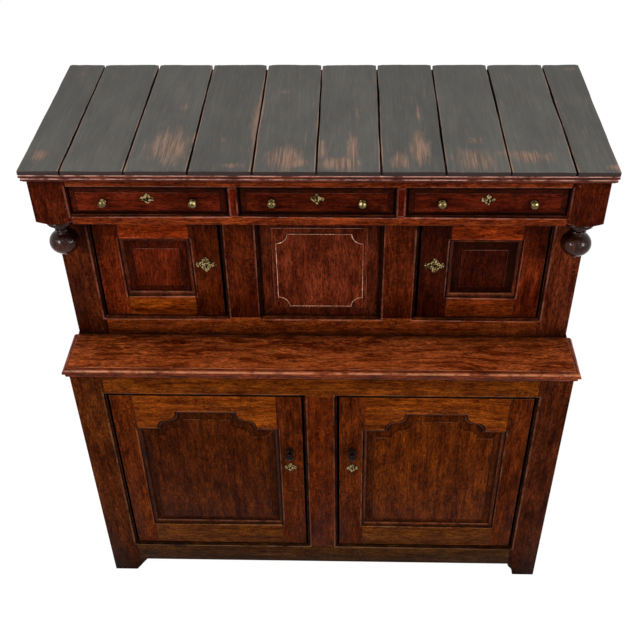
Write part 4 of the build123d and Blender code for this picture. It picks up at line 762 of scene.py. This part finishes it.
for name, values in (("rubbed", rubbed), ("edge", edge), ("tone", tone)):
    add_layer(mesh, name, "FLOAT", values)
smoothed(mesh, sharp=35)
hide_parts("top_boards")
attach(top_boards, "case")


# ------------------------------ pegs
# Riven oak pegs driven through each tenon of the case. They are eight-sided rather than round, a little
# thinner one way than the other, and stand half a millimetre proud of the posts.

# end grain: the posts' own wax over a finer figure, without ray flecks
peg_oak = old_oak("oak_end_grain_pegs", streak=2.0, arris_wear_and_highlight=0.5, flecks=0.0)
peg_middles, peg_runs = [], []
for solid in separate_solids("joint_pegs"):
    low, high = box_round([corner for face in solid for corner in face])
    run = max(range(3), key=lambda a: high[a] - low[a])
    peg_middles.append(tuple((low + high) / 2))
    peg_runs.append((run, high[run] - low[run], min(high - low) / 2))
peg_places = bpy.data.meshes.new("peg_places")
peg_places.from_pydata(peg_middles, [], [])
peg_turns = {0: (0, math.pi / 2, 0), 1: (math.pi / 2, 0, 0), 2: (0, 0, 0)}
add_layer(peg_places, "peg_turn", "FLOAT_VECTOR", [turn for run, _, _ in peg_runs for turn in peg_turns[run]])
add_layer(peg_places, "peg_length", "FLOAT", [length for _, length, _ in peg_runs])
peg_sizes = {"Peg Radius": peg_runs[0][2], "Sides": 8, "Seed": 3, "Wood": peg_oak}
tree, given = new_rule("riven_pegs", "Places", peg_sizes, "Pegs")
turn = add_node(tree, "GeometryNodeInputNamedAttribute", {"Name": "peg_turn"}, data_type="FLOAT_VECTOR")
length = add_node(tree, "GeometryNodeInputNamedAttribute", {"Name": "peg_length"}, data_type="FLOAT")
shank = add_node(tree, "GeometryNodeMeshCylinder", {"Vertices": given["Sides"], "Depth": 1.0,
                                                    "Radius": given["Peg Radius"]})
thin = add_node(tree, "FunctionNodeRandomValue", {2: 0.86, 3: 1.0, "Seed": given["Seed"]}, data_type="FLOAT")
size = add_node(tree, "CombineXYZ", {0: thin, 1: 1.0, 2: length})
driven = add_node(tree, "GeometryNodeInstanceOnPoints", {"Points": given["Places"], "Instance": shank,
                                                         "Rotation": turn, "Scale": size})
real = add_node(tree, "GeometryNodeRealizeInstances", {"Geometry": driven})
stained = add_node(tree, "GeometryNodeSetMaterial", {"Geometry": real, "Material": given["Wood"]})
add_node(tree, "NodeGroupOutput", {0: stained})
pegs = carried_out("case_pegs", peg_places, tree, peg_sizes, arris=0.0005)
with_grain(pegs.data, "#4a200d")
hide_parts("joint_pegs")
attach(pegs, "case")


# ------------------------------ lower doors
# Two stiles, a bottom rail and a head rail cut to an arch, pegged together round a panel whose sloped
# margin fits a groove. The head rails are from a paler tree than the stiles.

def lower_door_stain(low, high):
    """A paler head rail, a grey-brown bottom rail, and two dark stiles."""
    shortest_rail, left_hinge_side = 0.25, -0.4
    if high.x - low.x > shortest_rail:
        return "#662d07" if low.z > lower_middle else "#552a09"
    return "#4f1e04" if high.x < left_hinge_side else "#481a04"


door_profile = [(0.0003, 0.0045), (0.002, 0.0045)]
for step in range(5):
    angle = math.radians(90 - 20 * step)
    door_profile.append((0.002 + 0.007 * math.cos(angle), 0.0125 - 0.0072 * math.sin(angle)))
door_profile += [(0.0095, 0.0105), (0.0003, 0.0122)]


def arched_outline(inset):
    """Square shoulders and a flat crown joined by two scrolls, as the lower doors' head rails are cut."""
    side, shoulder, crown = 0.2 - inset, 0.425 - inset, 0.492 - inset
    knee, step, bend = 0.14 - 0.6 * inset, 0.006, 0.0275
    half = [(side, inset), (side, shoulder), (knee, shoulder)]
    for start, way, rise in ((0, 1, shoulder + step), (270, -1, crown - step)):
        for k in range(9):
            angle = math.radians(start + way * 11.25 * k)
            half.append((knee - bend + bend * math.cos(angle), rise + bend * math.sin(angle)))
    half.append((knee - 2 * bend, crown))
    return half + [(-x, z) for x, z in reversed(half)]


# the mouldings are of the same waxed oak, a little shinier and painted pale on the crown as a highlight
moulding_oak = old_oak("waxed_oak_door_mouldings", polish=0.3, shine=0.05, flecks=0.0, crown=0.4)
lower_panel_middle, lower_panel_foot, lower_door_front = 0.325, 0.236, -0.269
for side, way, colour in (("left", -1, "#3f1703"), ("right", 1, "#4b1d03")):
    dressed(f"lower_{side}_door_frame", lower_oak, lower_door_stain)
    dressed(f"lower_{side}_door_panel", lower_oak, colour, along="Z", slope_shade_and_dirt=0.42)
    run = panel_moulding(f"lower_{side}_door_moulding", way * lower_panel_middle, lower_panel_foot,
                         lower_door_front, arched_outline, door_profile, colour, moulding_oak)
    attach(run, body_of[f"lower_{side}_door_frame"])


# ------------------------------ upper doors
# Smaller doors made in the same way, with square panels. Their rails and hinge stiles are of an orange
# oak, and their lock stiles of a dark one.

def upper_door_stain(low, high):
    """A stain for each rail and stile, the right-hand door's a little darker."""
    shortest_rail, hinge_side = 0.15, 0.43
    left = high.x < 0
    if high.x - low.x > shortest_rail:
        if low.z > upper_middle:
            return "#77280a" if left else "#712709"
        return "#6e2e08" if left else "#582007"
    if abs(low.x + high.x) / 2 > hinge_side:
        return "#561c07" if left else "#4d1806"
    return "#401403" if left else "#2c0a03"


def square_outline(inset):
    """The square-cornered opening of an upper door."""
    side, head = 0.091 - inset, 0.184 - inset
    return [(side, inset), (side, head), (-side, head), (-side, inset)]


upper_panel_middle, upper_panel_foot, upper_door_front = 0.432, 1.042, -0.13
for side, way, colour in (("left", -1, "#491506"), ("right", 1, "#2a0903")):
    dressed(f"upper_{side}_door_frame", upper_oak, upper_door_stain)
    dressed(f"upper_{side}_door_panel", upper_oak, colour, along="Z", slope_shade_and_dirt=0.5)
    run = panel_moulding(f"upper_{side}_door_moulding", way * upper_panel_middle, upper_panel_foot,
                         upper_door_front, square_outline, door_profile, "#4c1e0d", moulding_oak)
    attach(run, body_of[f"upper_{side}_door_frame"])


# ------------------------------ locks, bolts and hinge pins
# Each door and drawer has an iron-bolted lock behind it and a pierced, filed brass plate round its
# keyhole in front. The doors turn on plain iron pins let into their edges.

def old_fitting(name, bright, dull, dirt, roughness, metallic=1.0, shine=0.5, mottling=230.0, relief=0.6):
    """The finish of an old fitting: bright where rubbed and dull in patches, dark in the hollows, partly dirt
    and partly painted shade, and painted brighter on top and duller below as painted light from above.
    mottling is how many patches go to the metre, and relief how deep they are."""
    material, tree = new_finish(name)
    place = add_node(tree, "TexCoord").outputs["Object"]
    mottle = add_node(tree, "TexNoise", {"Vector": place, "Scale": mottling, "Detail": 4.0})
    share = add_node(tree, "MapRange", {0: mottle, 1: 0.5, 2: 0.58})
    facing = add_node(tree, "NewGeometry")
    upward = add_node(tree, "SeparateXYZ", {0: facing.outputs["Normal"]}).outputs["Z"]
    # painted light: faces that look up get more of the bright colour and faces that look down less
    fitting_lit_from_above = add_node(tree, "MapRange", {0: upward, 1: -0.6, 2: 0.25, 3: 0.1})
    share = add_node(tree, "Math", {0: share, 1: fitting_lit_from_above}, operation="MULTIPLY")
    colour = add_node(tree, "Mix", {0: share, 6: linear(dull), 7: linear(bright)}, data_type="RGBA")
    # dark in the hollows: partly dirt, partly painted shade
    nook = add_node(tree, "AmbientOcclusion", {"Distance": 0.006}, samples=6)
    dirty = add_node(tree, "MapRange", {0: nook.outputs["AO"], 1: 0.9, 2: 0.4})
    colour = add_node(tree, "Mix", {0: dirty, 6: colour, 7: linear(dirt)}, data_type="RGBA")
    rough = add_node(tree, "MapRange", {0: mottle, 1: 0.3, 2: 0.7, 3: roughness, 4: roughness + 0.2})
    bump = add_node(tree, "Bump", {"Strength": relief, "Distance": 0.0006, "Height": mottle})
    surface = add_node(tree, "BsdfPrincipled", {"Base Color": colour, "Roughness": rough, "Normal": bump,
                                                "Metallic": metallic, "Specular IOR Level": shine})
    add_node(tree, "OutputMaterial", {"Surface": surface})
    return material


# cast brass, brown with age and yellow where it is rubbed; the knobs are smoother from handling; iron
# forged and filed, dark grey with a dull gleam
# all three are also painted paler on top and darker below, as painted light from above
brass = old_fitting("aged_brass", "#c4aa76", "#33240f", "#0a0502", 0.2)
knob_brass = old_fitting("handled_brass", "#a08d62", "#5a4c2e", "#140c05", 0.24, mottling=90.0, relief=0.15)
iron = old_fitting("wrought_iron", "#4a4642", "#2a2624", "#120f0d", 0.5)
leaves = [f"{stage}_{side}_door" for stage in ("upper", "lower") for side in ("left", "right")]
drawers = [f"{place}_drawer" for place in ("left", "centre", "right")]
for leaf in leaves + drawers:
    dressed(f"{leaf}_lock", brass, arris=0.0004)
    dressed(f"{leaf}_bolt", iron, arris=0.0004)
dressed("hinge_pins", iron, arris=0.0003)


# ------------------------------ drawers
# A fielded front of oak, rebated over two sides, a back and a bottom that were never polished. The
# three fronts are from different boards.

drawer_stains = {"left_drawer": "#431206", "centre_drawer": "#370d03", "right_drawer": "#3f1005"}
for drawer in drawers:
    dressed(f"{drawer}_front", upper_oak, drawer_stains[drawer], along="X", arris=0.0008,
            slope_shade_and_dirt=0.6)
    dressed(f"{drawer}_box", inner_oak, "#6d5238")


# ------------------------------ knobs
# Cast brass mushroom knobs on the drawers, two to each, their shanks held by square nuts inside. The
# lower doors have small turned knobs of black-stained oak above their keyholes.

for drawer in drawers:
    dressed(f"{drawer}_knobs", knob_brass, arris=0)
# black-stained oak under polish: nearly black, with a small highlight
ebonised = old_fitting("ebonised_oak", "#1c0d07", "#0c0503", "#040202", 0.12, metallic=0.0, shine=0.05)
for side in ("left", "right"):
    dressed(f"lower_{side}_door_knob", ebonised, arris=0)
